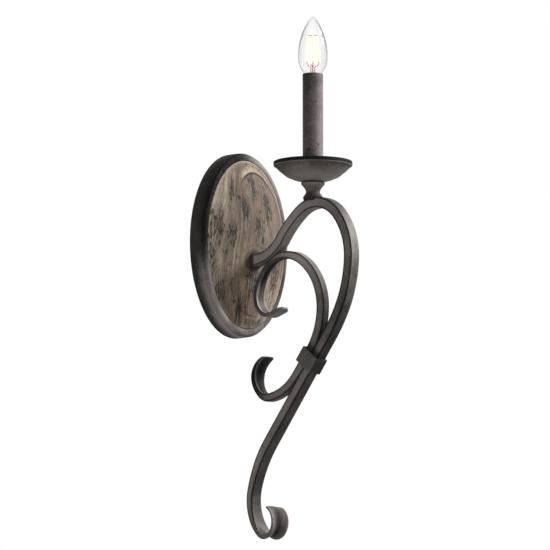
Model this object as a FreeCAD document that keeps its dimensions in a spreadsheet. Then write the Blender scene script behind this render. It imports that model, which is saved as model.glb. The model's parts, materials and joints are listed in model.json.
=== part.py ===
import FreeCAD, Part
import math
import os
import Sketcher

# A candle wall lamp in forged bar. The wall is the plane Y = 0 and the lamp stands out along -Y.
# X is to the right, Z is up, and the origin is the centre of the back plate's rear plane.
# Lengths are in millimetres.

SIZES = {
    # back plate, an oval pan
    "plate_half_width": 73.0,
    "plate_half_height": 111.0,
    "plate_side": 17.6,             # depth of the side, up to the rolled bead
    "side_draft": 0.5,
    "back_edge": 0.8,
    "bead": 1.8,                    # size of the bead and of the groove beside it
    "band_start": 2.3,              # inset where the front band starts
    "opening_inset": 9.2,           # inset of the opening that holds the wood
    "band_rise": 6.4,
    "pan_wall": 2.2,
    "seat_depth": 16.5,             # plane that the wood rests on
    "floor_thickness": 1.5,
    # wooden oval
    "wood_gap": 0.3,
    "wood_side": 7.6,
    "wood_bevel": 1.2,
    "wood_bevel_rise": 0.9,
    "wood_dome": 13.5,
    "wood_under_flange": 20.5,      # thickness of wood left under the flange
    # foot of the arm
    "foot_drop": 20.0,              # height of the arm's foot below the plate's centre
    "flange_radius": 10.5,
    "flange_thickness": 4.0,
    "flange_edge": 0.8,
    "flange_gap": 0.4,
    # main scroll
    "bar_thickness": 12.6,          # in the plane of the scroll
    "bar_width": 13.5,
    "bar_arris": 1.1,
    "foot_radius": 53.0,
    "rise_radius": 131.5,
    "crown_radius": 45.0,
    "shoulder_radius": 77.0,
    "flank_radius": 137.5,
    "fall_radius": 229.0,
    "straight_run": 148.0,
    "sweep_radius": 145.5,
    "heel_radius": 55.0,
    "curl_radius": 14.0,
    "curl_back_radius": 21.0,
    "curl_tip_radius": 19.0,
    "wireway": 9.6,                 # square bore
    "wireway_past_neck": 8.0,
    "foot_thread": 9.0,
    # side scroll
    "side_thickness": 12.2,
    "side_width": 9.5,
    "side_arris": 0.9,
    "collar_run": 34.5,             # along the straight stretch to the middle of the collar
    "above_collar": 8.0,
    "back_radius": 85.0,
    "arch_radius": 68.5,
    "arch_top_radius": 52.0,
    "arch_front_radius": 38.0,
    "drop_radius": 51.5,
    "drop_curl_radius": 25.0,
    "leaf_radius": 19.0,
    "leaf_run": 18.4,
    "below_collar": 7.2,
    "ease_radius": 245.0,
    "hook_radius": 64.5,
    "hook_heel_radius": 15.0,
    "hook_side_radius": 28.8,
    "hook_curl_radius": 23.4,
    "hook_tip_radius": 33.7,
    # collar
    "collar_length": 20.0,
    "collar_wall": 2.1,
    "collar_gap": 0.15,
    # neck
    "candle_back": 7.7,             # from the crown of the scroll back towards the wall
    "neck_lift": 2.9,               # lower edge above the centre line of the crown
    "neck_height": 22.7,
    "neck_radius": 14.0,
    # drip cup
    "cup_radius": 46.4,
    "cup_depth": 23.7,
    "cup_band": 5.3,
    "cup_step": 1.5,
    "cup_wall": 1.8,
    "cup_edge": 0.4,
    # threaded tubes, nuts and bracket
    "nipple_radius": 5.0,
    "nipple_bore": 3.75,
    "thread_gap": 0.05,
    "hole_gap": 0.3,
    "nipple_stand": 2.2,            # thread that shows past a nut
    "neck_nipple_sink": 7.0,
    "foot_nipple_grip": 7.0,
    "nut_corner_radius": 9.1,
    "nut_height": 3.2,
    "washer_radius": 9.2,
    "washer_thickness": 1.2,
    "bracket_thickness": 1.2,
    "bracket_width": 9.0,
    "bracket_reach": 9.3,
    "bracket_foot_radius": 8.8,
    "bracket_toe": 3.4,             # inner end of the bracket's upper foot
    "bracket_height": 80.2,
    "rivet_radius": 1.4,
    "rivet_grip": 3.0,
    "rivet_head_radius": 2.2,
    "rivet_head": 0.9,
    # lamp socket
    "socket_height": 31.0,
    "socket_wall": 3.4,
    "socket_floor": 5.0,
    "shell_gap": 0.1,
    "shell_wall": 0.6,
    "shell_play": 0.3,
    "shell_height": 25.0,
    "shell_hole": 4.2,
    "tongue_height": 8.4,
    "tongue_radius": 3.2,
    "tongue_thickness": 0.8,
    # candle sleeve
    "sleeve_radius": 12.1,
    "sleeve_wall": 1.2,
    "sleeve_gap": 0.3,
    "sleeve_length": 126.0,
    "sleeve_edge": 0.4,
    # bulb
    "contact_gap": 0.3,
    "contact_radius": 2.4,
    "contact_height": 1.4,
    "insulator_height": 3.2,
    "base_radius": 5.9,
    "base_wall": 0.4,
    "base_height": 16.2,
    "glass_fit": 0.1,
    "glass_overlap": 2.2,           # glass held inside the top of the base
    "glass_wall": 0.8,
    "glass_radius": 17.5,
    "glass_height": 79.2,
    "stem_radius": 3.6,
    "stem_height": 22.0,
    "stem_rod_radius": 0.5,
    "filament_radius": 0.8,
    "filament_height": 32.0,
    "filament_low_reach": 6.4,
    "filament_high_reach": 4.4,
    "filament_stand": 3.0,          # lower ends above the top of the stem
    "wire_radius": 0.3,
    # leads and their connectors
    "lead_radius": 1.05,
    "lead_apart": 2.6,
    "lead_end_gap": 0.2,
    "lead_plane": 6.0,
    "lead_bend": 4.5,
    "lead_drop_bend": 8.0,
    "lead_rise_bend": 8.0,
    "connector_reach": 34.0,
    "connector_drop": 24.0,
    "connector_length": 22.0,
    "connector_mouth": 4.8,
    "connector_tip": 3.2,
    "connector_play": 0.3,          # round the lead in the connector's mouth
    "connector_bore_depth": 10.0,
    "lead_entry": 8.0,
    # crossbar for the outlet box
    "strap_gap": 1.6,
    "strap_half_width": 10.0,
    "strap_thickness": 2.0,
    "strap_tab": 13.0,
    "slot_half_spacing": 44.45,
    "slot_half_length": 10.0,
    "slot_half_width": 2.5,
    # screws
    "set_screw_radius": 2.0,
    "set_screw_length": 9.0,
    "set_screw_depth": 8.0,
    "set_screw_sink": 0.6,
    "set_screw_socket": 1.2,
    "set_screw_socket_depth": 3.0,
    "wood_screw_radius": 1.7,
    "wood_screw_length": 10.5,
    "wood_screw_head": 3.6,
    "wood_screw_head_height": 2.0,
    "wood_screw_across": 34.0,
    "wood_screw_up": 56.0,
    "ground_screw_radius": 2.0,
    "ground_screw_head": 4.0,
    "ground_screw_head_height": 3.0,
    "ground_screw_up": 24.0,
    "earth_screw_across": 30.0,
    "ground_lead_float": 0.4,
    "ground_lead_bend": 4.0,
    "ground_lead_turn": 15.0,
    # how far a cutting shape runs past the solid
    "overrun": 5.0,
}

# Places that follow from the sizes, as sums of names
PLACES = {
    "foot_depth": "seat_depth + wood_under_flange + flange_thickness",
    "floor_depth": "seat_depth - floor_thickness",
    "opening_depth": "plate_side + band_rise",
    "wood_inset": "opening_inset + wood_gap",
    "neck_base": "crown_level + neck_lift",
    "cup_base": "neck_base + neck_height",
    "cup_floor": "cup_base + cup_wall",
    "bracket_base": "cup_floor + nut_height",
    "bracket_nut_base": "bracket_base + bracket_thickness",
    "neck_nipple_low": "neck_base + neck_nipple_sink",
    "neck_nipple_top": "bracket_nut_base + nut_height + nipple_stand",
    "socket_base": "bracket_base + bracket_height",
    "socket_floor_level": "socket_base + socket_floor",
    "shell_bore": "base_radius + shell_play",
    "shell_radius": "shell_bore + shell_wall",
    "socket_bore": "shell_radius + shell_gap",
    "socket_radius": "socket_bore + socket_wall",
    "tongue_top": "socket_floor_level + tongue_height",
    "bulb_base": "tongue_top + contact_gap",
    "insulator_low": "bulb_base + contact_height",
    "base_low": "insulator_low + insulator_height",
    "base_top": "base_low + base_height",
    "glass_low": "base_top - glass_overlap",
    "stem_top": "glass_low + stem_height",
    "filament_low": "stem_top + filament_stand",
    "filament_top": "filament_low + filament_height",
    "sleeve_low": "cup_floor + sleeve_gap",
    "washer_back": "floor_depth - washer_thickness",
    "nut_back": "washer_back - nut_height",
    "foot_nipple_back": "nut_back - nipple_stand",
    "strap_half_length": "plate_half_height - pan_wall - strap_gap",
}

doc = FreeCAD.newDocument("wall_lamp")
sheet = doc.addObject("Spreadsheet::Sheet", "sizes")
known = {}


def write_size(name, value):
    row = len(known) + 1
    sheet.set(f"A{row}", name)
    sheet.set(f"B{row}", repr(value))
    sheet.setAlias(f"B{row}", name)
    known[name] = value


for size_name, size_value in SIZES.items():
    write_size(size_name, size_value)
doc.recompute()


def terms(text):
    """Split a sum such as 'a + 0.5*b - c' into (factor, size name) pairs."""
    sign = 1
    found = []
    for word in text.split():
        if word in "+-":
            sign = 1 if word == "+" else -1
            continue
        number, star, name = word.rpartition("*")
        factor = sign * (float(number) if star else 1)
        if name in PLACES:
            found += [(factor * inner, size) for inner, size in terms(PLACES[name])]
        elif name != "0":
            found.append((factor, name))
        sign = 1
    return found


def length(text):
    return sum(factor * known[name] for factor, name in terms(text))


def bound(text):
    """The same sum as an expression on the spreadsheet's cells."""
    return " ".join(f"{factor:+.9g} * sizes.{name}" for factor, name in terms(text)).lstrip("+")


def negative(text):
    """The sum with every sign swapped."""
    swapped = ((-factor, name) for factor, name in terms(text))
    return " ".join(f"{'-' if factor < 0 else '+'} {abs(factor):.9g}*{name}" for factor, name in swapped)


X_AXIS = FreeCAD.Vector(1, 0, 0)
Y_AXIS = FreeCAD.Vector(0, 1, 0)
Z_AXIS = FreeCAD.Vector(0, 0, 1)
UPRIGHT = FreeCAD.Rotation()
OUTWARDS = FreeCAD.Rotation(X_AXIS, 90)                     # what stood up now points to -Y
OVAL_TURN = FreeCAD.Rotation(FreeCAD.Vector(1, 1, 1), -120)    # an ellipse's long axis is upright
CANDLE_Y = "candle_back - crown_out"


def place(thing, at, turn=UPRIGHT):
    thing.Placement = FreeCAD.Placement(FreeCAD.Vector(), turn)
    for axis, text in zip("xyz", at):
        if terms(text):
            thing.setExpression(f"Placement.Base.{axis}", bound(text))
    return thing


def primitive(kind, name, values, at, turn):
    thing = doc.addObject(f"Part::{kind}", name)
    for prop, text in values.items():
        thing.setExpression(prop, bound(text))
    return place(thing, at, turn)


def cylinder(name, radius, height, at, turn=UPRIGHT):
    return primitive("Cylinder", name, {"Radius": radius, "Height": height}, at, turn)


def cone(name, low_radius, high_radius, height, at, turn=UPRIGHT):
    values = {"Radius1": low_radius, "Radius2": high_radius, "Height": height}
    return primitive("Cone", name, values, at, turn)


def box(name, x, y, z, at, turn=UPRIGHT):
    return primitive("Box", name, {"Length": x, "Width": y, "Height": z}, at, turn)


def prism(name, corner_radius, height, at, turn=UPRIGHT):
    return primitive("Prism", name, {"Circumradius": corner_radius, "Height": height}, at, turn)


def cut(base, *tools):
    for tool in tools:
        step = doc.addObject("Part::Cut", f"{tool.Name}_cut")
        step.Base = base
        step.Tool = tool
        base = step
    return base


def fuse(name, *things):
    joined = doc.addObject("Part::MultiFuse", name)
    joined.Shapes = list(things)
    return joined


def group(name, things):
    """Separate solids in one node."""
    together = doc.addObject("Part::Compound", name)
    together.Links = list(things)
    return together


subparts = []


def keep(thing, name):
    thing.Label = name
    subparts.append(thing)
    return thing


def turned(name, profile, base):
    """A body revolved about the candle's axis; the profile lists radius and height above base."""
    body = doc.addObject("PartDesign::Body", name)
    sketch = body.newObject("Sketcher::SketchObject", f"{name}_profile")
    plane = next(item for item in body.Origin.OriginFeatures if item.Role == "XZ_Plane")
    sketch.AttachmentSupport = [(plane, "")]
    sketch.MapMode = "FlatFace"
    points = [FreeCAD.Vector(length(radius), length(height), 0) for radius, height in profile]
    for start, end in zip(points, points[1:] + points[:1]):
        sketch.addGeometry(Part.LineSegment(start, end), False)
    for i, (radius, height) in enumerate(profile):
        sketch.addConstraint(Sketcher.Constraint("Coincident", i - 1 if i else len(points) - 1, 2, i, 1))
        for kind, text, axis in (("DistanceX", radius, -2), ("DistanceY", height, -1)):
            if not terms(text):
                sketch.addConstraint(Sketcher.Constraint("PointOnObject", i, 1, axis))
                continue
            rule = sketch.addConstraint(Sketcher.Constraint(kind, -1, 1, i, 1, length(text)))
            sketch.setExpression(f"Constraints[{rule}]", bound(text))
    spin = body.newObject("PartDesign::Revolution", f"{name}_turned")
    spin.Profile = sketch
    spin.ReferenceAxis = (sketch, ["V_Axis"])
    spin.Angle = 360
    return place(body, ("0", CANDLE_Y, base))


def coded(name, shape):
    thing = doc.addObject("Part::Feature", name)
    thing.Shape = shape
    thing.Placement = FreeCAD.Placement()
    return thing


# Scroll paths are tangent arcs and straight runs in the plane X = 0.
# A place on a path is (y, z, heading); the heading turns from +Y towards +Z, in degrees.

def walk(start, radius, turn, along):
    y, z, heading = start
    angle = math.radians(heading)
    if turn == 0:
        return y + along * math.cos(angle), z + along * math.sin(angle), heading
    side = math.copysign(1, turn)
    new = angle + side * along / radius
    y += side * radius * (math.sin(new) - math.sin(angle))
    z -= side * radius * (math.cos(new) - math.cos(angle))
    return y, z, math.degrees(new)


class Path:
    """Pieces are (distance before, own length, radius, turn, starting place)."""

    def __init__(self, start, bends):
        self.pieces = []
        before = 0
        for name, turn in bends:
            radius = known[name]
            span = radius * math.radians(abs(turn)) if turn else radius
            self.pieces.append((before, span, radius, turn, start))
            start = walk(start, radius, turn, span)
            before += span
        self.length = before

    def piece(self, along):
        return next((one for one in self.pieces if along <= one[0] + one[1]), self.pieces[-1])

    def at(self, along):
        before, span, radius, turn, start = self.piece(along)
        return walk(start, radius, turn, along - before)

    def stations(self, turn_step, run_step):
        places = [0]
        for before, span, radius, turn, start in self.pieces:
            count = math.ceil(max(abs(turn) / turn_step, span / run_step, 1))
            places += [before + span * i / count for i in range(1, count + 1)]
        return places


class TwoWay:
    """Two paths that leave one place in opposite directions, read as one from the first one's end."""

    def __init__(self, first, second):
        self.first = first
        self.second = second
        self.length = first.length + second.length

    def at(self, along):
        if along > self.first.length:
            return self.second.at(along - self.first.length)
        y, z, heading = self.first.at(self.first.length - along)
        return y, z, heading + 180

    def stations(self, turn_step, run_step):
        back = [self.first.length - here for here in self.first.stations(turn_step, run_step)]
        on = [self.first.length + here for here in self.second.stations(turn_step, run_step)]
        return back[::-1] + on


ARM_BENDS = [("foot_radius", -53.5), ("rise_radius", 18.5), ("crown_radius", 82.5),
             ("shoulder_radius", 45.5), ("flank_radius", 26.0), ("fall_radius", 9.3),
             ("straight_run", 0), ("sweep_radius", -23.5), ("heel_radius", -62.5),
             ("curl_radius", -96.0), ("curl_back_radius", -46.0), ("curl_tip_radius", -41.5)]
UPPER_BENDS = [("above_collar", 0), ("back_radius", -33.2), ("arch_radius", -61.0),
               ("arch_top_radius", -36.0), ("arch_front_radius", -31.5), ("drop_radius", -50.2),
               ("drop_curl_radius", -48.5), ("leaf_radius", -65.6), ("leaf_run", 0)]
LOWER_BENDS = [("below_collar", 0), ("ease_radius", 6.0), ("hook_radius", 41.5),
               ("hook_heel_radius", 42.7), ("hook_side_radius", 42.2), ("hook_curl_radius", 52.0),
               ("hook_tip_radius", 23.0)]

arm_path = Path((-length("foot_depth"), -known["foot_drop"], 180), ARM_BENDS)

# The crown is where the main scroll runs level, in the bend named crown_radius
crown_piece = arm_path.pieces[2]
crown_along = crown_piece[0] + known["crown_radius"] * math.radians(180 - crown_piece[4][2])
crown_y, crown_z = arm_path.at(crown_along)[:2]
write_size("crown_out", -crown_y)
write_size("crown_level", crown_z)
doc.recompute()

# The side scroll lies against the main one at the collar
collar_along = arm_path.pieces[6][0] + known["collar_run"]
bar_y, bar_z, bar_heading = arm_path.at(collar_along)
off_y = -math.sin(math.radians(bar_heading))
off_z = math.cos(math.radians(bar_heading))
bars_apart = length("0.5*bar_thickness + 0.5*side_thickness")
side_y = bar_y + off_y * bars_apart
side_z = bar_z + off_z * bars_apart
side_path = TwoWay(Path((side_y, side_z, bar_heading - 180), UPPER_BENDS),
                   Path((side_y, side_z, bar_heading), LOWER_BENDS))

# Rows: share of the bar's length, of its thickness, of its width
ARM_SHARES = [(0, 1.19, 1), (0.02, 1.05, 1), (0.47, 1.05, 1), (0.51, 1, 1), (0.58, 1, 1), (0.728, 0.95, 1.1),
              (0.767, 0.897, 1.11), (0.793, 0.825, 1.11), (0.815, 0.778, 1.126), (0.845, 0.714, 1.207),
              (0.872, 0.675, 1.26), (0.894, 0.54, 1.48), (0.914, 0.397, 1.78), (0.952, 0.317, 2.07),
              (0.978, 0.254, 2.22), (0.995, 0.19, 2.3), (0.9967, 0.185, 2), (0.998, 0.18, 1.56),
              (0.9992, 0.175, 1), (1, 0.17, 0.45)]
SIDE_SHARES = [(0, 0.4, 0.7), (0.0015, 0.41, 1.05), (0.004, 0.42, 1.33), (0.008, 0.43, 1.5),
               (0.05, 0.434, 1.6), (0.14, 0.434, 1.5), (0.218, 0.42, 1.25), (0.24, 0.47, 1.16),
               (0.265, 0.545, 1.12), (0.289, 0.66, 1.1), (0.322, 0.78, 1.07), (0.345, 0.877, 1.03),
               (0.4, 0.95, 1), (0.46, 1, 1), (0.7, 1, 1), (0.73, 0.89, 1), (0.803, 0.86, 1.02),
               (0.847, 0.795, 1.08), (0.861, 0.631, 1.12), (0.879, 0.459, 1.24), (0.932, 0.44, 1.6),
               (0.978, 0.29, 2), (0.993, 0.2, 2.2), (0.9958, 0.17, 1.75), (0.9984, 0.14, 1.1), (1, 0.12, 0.4)]
BEND_STEP = 8                # degrees between sections
RUN_STEP_SHARE = 1.0         # of the bar's width, on straight runs
LEAST_STEP_SHARE = 0.035     # of the bar's width
THIN_ARRIS_SHARE = 0.3       # of the thickness, where the bar is too thin for its whole arris


def read_shares(rows, share, column):
    for low, high in zip(rows, rows[1:]):
        if share <= high[0]:
            mix = (share - low[0]) / (high[0] - low[0])
            return low[column] * (1 - mix) + high[column] * mix
    return rows[-1][column]


def section(spot, thickness, width, arris):
    """A closed outline square to the path: a rectangle with bevelled corners."""
    y, z, heading = spot
    angle = math.radians(heading)
    across = FreeCAD.Vector(0, -math.sin(angle), math.cos(angle))
    centre = FreeCAD.Vector(0, y, z)
    high = thickness / 2
    wide = width / 2
    bevel = min(arris, THIN_ARRIS_SHARE * thickness)
    corners = [(wide, high), (-wide, high), (-wide, -high), (wide, -high)]
    outline = []
    for i, (x, v) in enumerate(corners):
        ends = [(x, v - math.copysign(bevel, v)), (x - math.copysign(bevel, x), v)]
        outline += ends if i % 2 == 0 else ends[::-1]
    points = [centre + X_AXIS * x + across * v for x, v in outline]
    return Part.makePolygon(points + points[:1])


def bar(path, rows, thickness, width, arris):
    places = path.stations(BEND_STEP, RUN_STEP_SHARE * width)
    places += [path.length * row[0] for row in rows]
    chosen = []
    for here in sorted(places):
        if not chosen or here - chosen[-1] > LEAST_STEP_SHARE * width:
            chosen.append(here)
    chosen[-1] = path.length
    outlines = []
    for here in chosen:
        share = here / path.length
        high = thickness * read_shares(rows, share, 1)
        wide = width * read_shares(rows, share, 2)
        outlines.append(section(path.at(here), high, wide, arris))
    return Part.makeLoft(outlines, True, True)


def path_edges(path, low, high, x):
    """Exact edges of a path between two distances, in the plane of the given X."""
    edges = []
    for before, span, radius, turn, start in path.pieces:
        begin = max(low, before)
        end = min(high, before + span)
        if end <= begin:
            continue
        first, middle, last = (FreeCAD.Vector(x, *path.at(here)[:2]) for here in (begin, (begin + end) / 2, end))
        curve = Part.Arc(first, middle, last) if turn else Part.LineSegment(first, last)
        edges.append(curve.toShape())
    return edges


def line_edge(start, end):
    return Part.LineSegment(start, end).toShape()


def corner_edge(corner, way_in, way_out, radius):
    """A quarter round at a square corner, and the points where it starts and ends."""
    start = corner - way_in * radius
    end = corner + way_out * radius
    middle = corner + (way_out - way_in) * radius * (1 - math.sqrt(0.5))
    return start, Part.Arc(start, middle, end).toShape(), end


def swept(edges, radius):
    wire = Part.Wire(edges)
    first = edges[0]
    start = wire.OrderedVertexes[0].Point
    tangent = first.tangentAt(first.FirstParameter)
    circle = Part.Wire([Part.makeCircle(radius, start, tangent)])
    solid = wire.makePipeShell([circle], True, False)
    print("lead length", round(wire.Length, 1), "volume share of a straight one",
          round(abs(solid.Volume) / (math.pi * radius ** 2 * wire.Length), 4))
    return solid


# Back plate: stacked ovals

def oval(name, half_width, half_height, depth):
    values = {"MajorRadius": half_height, "MinorRadius": half_width}
    return primitive("Ellipse", name, values, ("0", negative(depth), "0"), OVAL_TURN)


def oval_stack(name, outline):
    """A solid through ovals, each given by its inset from the plate's outline and its depth."""
    ovals = []
    for i, (inset, depth) in enumerate(outline):
        half_width = f"plate_half_width {negative(inset)}"
        half_height = f"plate_half_height {negative(inset)}"
        ovals.append(oval(f"{name}_{i}", half_width, half_height, depth))
    stack = doc.addObject("Part::Loft", name)
    stack.Sections = ovals
    stack.Solid = True
    stack.Ruled = True
    return stack


def outward_hole(name, radius, x, z, near, far):
    """A cutting cylinder from the depth near to the depth far."""
    return cylinder(name, radius, f"{far} {negative(near)}", (x, negative(near), z), OUTWARDS)


corners = [(f"{x} wood_screw_across", f"{z} wood_screw_up") for x in "+-" for z in "+-"]

BEAD_SHARES = [(0.1, 0.5), (0.39, 1.0), (0.67, 1.5), (0.8, 1.28)]
BAND_SHARE = 1.6
pan_outline = [("back_edge", "0"), ("0", "back_edge"), ("side_draft", "plate_side")]
pan_outline += [(f"side_draft + {a}*bead", f"plate_side + {b}*bead") for a, b in BEAD_SHARES]
pan_outline += [("band_start", f"plate_side + {BAND_SHARE}*bead"), ("opening_inset", "opening_depth")]
pan = oval_stack("pan_outside", pan_outline)
rear_cavity = oval_stack("pan_cavity", [("pan_wall", "0 - overrun"), ("pan_wall", "floor_depth")])
wood_pocket = oval_stack("pan_opening", [("opening_inset", "seat_depth"),
                                         ("opening_inset", "opening_depth + overrun")])
pan_holes = [outward_hole("arm_hole", "nipple_radius + hole_gap", "0", "0 - foot_drop",
                          "floor_depth - overrun", "seat_depth + overrun"),
             outward_hole("earth_hole", "ground_screw_radius + thread_gap", "earth_screw_across",
                          "ground_screw_up", "floor_depth - overrun", "seat_depth + overrun")]
pan_holes += [outward_hole(f"wood_screw_hole_{i}", "wood_screw_radius + hole_gap", x, z,
                           "floor_depth - overrun", "seat_depth + overrun")
              for i, (x, z) in enumerate(corners)]
for end, base in (("top", "plate_half_height - pan_wall - overrun"),
                  ("bottom", "0 - plate_half_height - overrun")):
    pan_holes.append(cylinder(f"{end}_screw_hole", "set_screw_radius + hole_gap", "pan_wall + 2*overrun",
                              ("0", "0 - set_screw_depth", base)))
keep(cut(pan, rear_cavity, wood_pocket, *pan_holes), "wall_pan")

# Wooden oval

DOME_SHARES = [1, 0.93, 0.84, 0.74, 0.62, 0.48, 0.34, 0.2, 0.08]
wood_low = oval_stack("wood_side_stack", [("wood_inset", "seat_depth"),
                                          ("wood_inset", "seat_depth + wood_side"),
                                          ("wood_inset + wood_bevel",
                                           "seat_depth + wood_side + wood_bevel_rise")])
dome_ovals = []
for i, share in enumerate(DOME_SHARES):
    inner = f"- {share}*opening_inset - {share}*wood_gap - {share}*wood_bevel"
    rise = 1 - share ** 2
    dome_ovals.append(oval(f"dome_{i}", f"{share}*plate_half_width {inner}",
                           f"{share}*plate_half_height {inner}",
                           f"seat_depth + wood_side + wood_bevel_rise + {rise}*wood_dome"))
dome = doc.addObject("Part::Loft", "wood_dome_stack")
dome.Sections = dome_ovals
dome.Solid = True
dome.Ruled = True
wood = fuse("wood_whole", wood_low, dome)
flange_seat = "seat_depth + wood_under_flange"
wood_holes = [outward_hole("flange_pocket", "flange_radius + flange_gap", "0", "0 - foot_drop",
                           flange_seat, "foot_depth + overrun"),
              outward_hole("wood_bore", "nipple_radius + hole_gap", "0", "0 - foot_drop",
                           "seat_depth - overrun", "foot_depth")]
wood_holes += [outward_hole(f"pilot_{i}", "wood_screw_radius + thread_gap", x, z,
                            "seat_depth - overrun", "floor_depth + wood_screw_length + hole_gap")
               for i, (x, z) in enumerate(corners)]
keep(cut(wood, *wood_holes), "wood_inlay")

# Foot of the arm: flange, threaded tube, washer and nut

flange_at = ("0", negative(flange_seat), "0 - foot_drop")
flange_disc = cylinder("flange_disc", "flange_radius", "flange_thickness - flange_edge", flange_at, OUTWARDS)
flange_front = cone("flange_front", "flange_radius", "flange_radius - flange_edge", "flange_edge",
                    ("0", negative("foot_depth - flange_edge"), "0 - foot_drop"), OUTWARDS)
flange_bore = outward_hole("flange_bore", "nipple_radius + thread_gap", "0", "0 - foot_drop",
                           "seat_depth", "foot_depth + overrun")
keep(cut(fuse("flange_whole", flange_disc, flange_front), flange_bore), "foot_flange")


def outward_ring(name, radius, bore, near, far, corners_too=False):
    """A washer, tube or nut on the axis of the arm's foot, between two depths."""
    at = ("0", negative(near), "0 - foot_drop")
    thickness = f"{far} {negative(near)}"
    blank = (prism if corners_too else cylinder)(f"{name}_blank", radius, thickness, at, OUTWARDS)
    hole = outward_hole(f"{name}_bore", bore, "0", "0 - foot_drop", f"{near} - overrun", f"{far} + overrun")
    return keep(cut(blank, hole), name)


outward_ring("arm_nipple", "nipple_radius", "nipple_bore", "foot_nipple_back", "foot_depth + foot_nipple_grip")
outward_ring("arm_washer", "washer_radius", "nipple_radius + hole_gap", "washer_back", "floor_depth")
outward_ring("arm_lock_nut", "nut_corner_radius", "nipple_radius + thread_gap", "nut_back", "washer_back", True)

# Main scroll, with its wireway from the foot to the neck

arm_outside = coded("arm_outside", bar(arm_path, ARM_SHARES, known["bar_thickness"], known["bar_width"],
                                       known["bar_arris"]))
neck_turn = math.asin(known["candle_back"] / known["crown_radius"])
way_end = crown_along - neck_turn * known["crown_radius"] + known["wireway_past_neck"]
way_places = [here for here in arm_path.stations(BEND_STEP, way_end) if here < way_end] + [way_end]
way_outlines = [section(arm_path.at(here), known["wireway"], known["wireway"], known["bar_arris"])
                for here in way_places]
arm_wireway = coded("arm_wireway", Part.makeLoft(way_outlines, True, True))
foot_bore = outward_hole("foot_bore", "nipple_radius + thread_gap", "0", "0 - foot_drop",
                         "foot_depth - overrun", "foot_depth + foot_thread")
crown_hole = cylinder("crown_hole", "nipple_bore", "0.5*wireway + bar_thickness", ("0", CANDLE_Y, "crown_level"))
keep(cut(arm_outside, arm_wireway, foot_bore, crown_hole), "scroll_arm")

# Side scroll and collar

keep(coded("side_bar", bar(side_path, SIDE_SHARES, known["side_thickness"], known["side_width"],
                           known["side_arris"])), "side_scroll")

collar_turn = FreeCAD.Rotation(X_AXIS, bar_heading - 90)


def collar_block(name, across, deep, long):
    """A block round the middle of the two bars, turned along them."""
    block = doc.addObject("Part::Box", name)
    block.setExpression("Length", bound(across))
    block.setExpression("Width", bound(deep))
    block.setExpression("Height", bound(long))
    middle = FreeCAD.Vector(0, bar_y + off_y * known["side_thickness"] / 2,
                            bar_z + off_z * known["side_thickness"] / 2)
    half = FreeCAD.Vector(length(across), length(deep), length(long)) / 2
    block.Placement = FreeCAD.Placement(middle - collar_turn.multVec(half), collar_turn)
    return block


collar_outside = collar_block("collar_outside", "bar_width + 2*collar_gap + 2*collar_wall",
                              "bar_thickness + side_thickness + 2*collar_gap + 2*collar_wall",
                              "collar_length")
collar_hole = collar_block("collar_hole", "bar_width + 2*collar_gap",
                           "bar_thickness + side_thickness + 2*collar_gap", "collar_length + 2*overrun")
keep(cut(collar_outside, collar_hole), "collar")

# Neck on the crown of the main scroll

NECK_SHARES = [(0.78, 0), (0.814, 0.1), (0.807, 0.2), (0.69, 0.32), (0.607, 0.41), (0.593, 0.46),
               (0.614, 0.54), (0.7, 0.645), (0.843, 0.75), (0.943, 0.823), (1, 0.867), (1, 0.929),
               (0.97, 0.947), (0.83, 0.947), (0.83, 1)]
neck_outline = [(f"{a}*neck_radius", f"{b}*neck_height") for a, b in NECK_SHARES]
neck_bore = [("nipple_radius + thread_gap", "neck_height"), ("nipple_radius + thread_gap", "0")]
keep(cut(turned("neck_body", neck_outline + neck_bore, "neck_base"), arm_outside), "neck")

# Drip cup

BOWL_SHARES = [(0.3125, 0), (0.377, 0.046), (0.448, 0.084), (0.513, 0.127), (0.569, 0.177), (0.636, 0.228),
               (0.703, 0.308), (0.776, 0.43), (0.849, 0.544), (0.922, 0.69)]
bowl = [(f"{a}*cup_radius", f"{b}*cup_depth") for a, b in BOWL_SHARES]
cup_outline = bowl + [("cup_radius - cup_step", "cup_depth - cup_band"),
                      ("cup_radius - cup_edge", "cup_depth - cup_band"),
                      ("cup_radius", "cup_depth - cup_band + cup_edge"),
                      ("cup_radius", "cup_depth - cup_edge"),
                      ("cup_radius - cup_edge", "cup_depth"),
                      ("cup_radius - cup_wall", "cup_depth"),
                      ("cup_radius - cup_wall - cup_edge", "cup_depth - cup_edge"),
                      ("cup_radius - cup_wall - cup_edge", "cup_depth - cup_band + cup_wall")]
cup_outline += [(f"{radius} - cup_wall", f"{height} + cup_wall") for radius, height in bowl[::-1]]
cup_outline += [("nipple_radius + hole_gap", "cup_wall"), ("nipple_radius + hole_gap", "0")]
keep(turned("cup", cup_outline, "cup_base"), "drip_cup")


def upright_ring(name, radius, bore, low, top, corners_too=False):
    """A tube or nut on the candle's axis, between two heights."""
    height = f"{top} {negative(low)}"
    blank = (prism if corners_too else cylinder)(f"{name}_blank", radius, height, ("0", CANDLE_Y, low))
    hole = cylinder(f"{name}_bore", bore, f"{height} + 2*overrun", ("0", CANDLE_Y, f"{low} - overrun"))
    return keep(cut(blank, hole), name)


upright_ring("neck_nipple", "nipple_radius", "nipple_bore", "neck_nipple_low", "neck_nipple_top")
upright_ring("cup_nut", "nut_corner_radius", "nipple_radius + thread_gap", "cup_floor", "bracket_base", True)
upright_ring("bracket_nut", "nut_corner_radius", "nipple_radius + thread_gap", "bracket_nut_base",
             "bracket_nut_base + nut_height", True)

# Bracket that carries the socket: a round foot, an upright behind the candle's axis, and an upper foot

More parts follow.
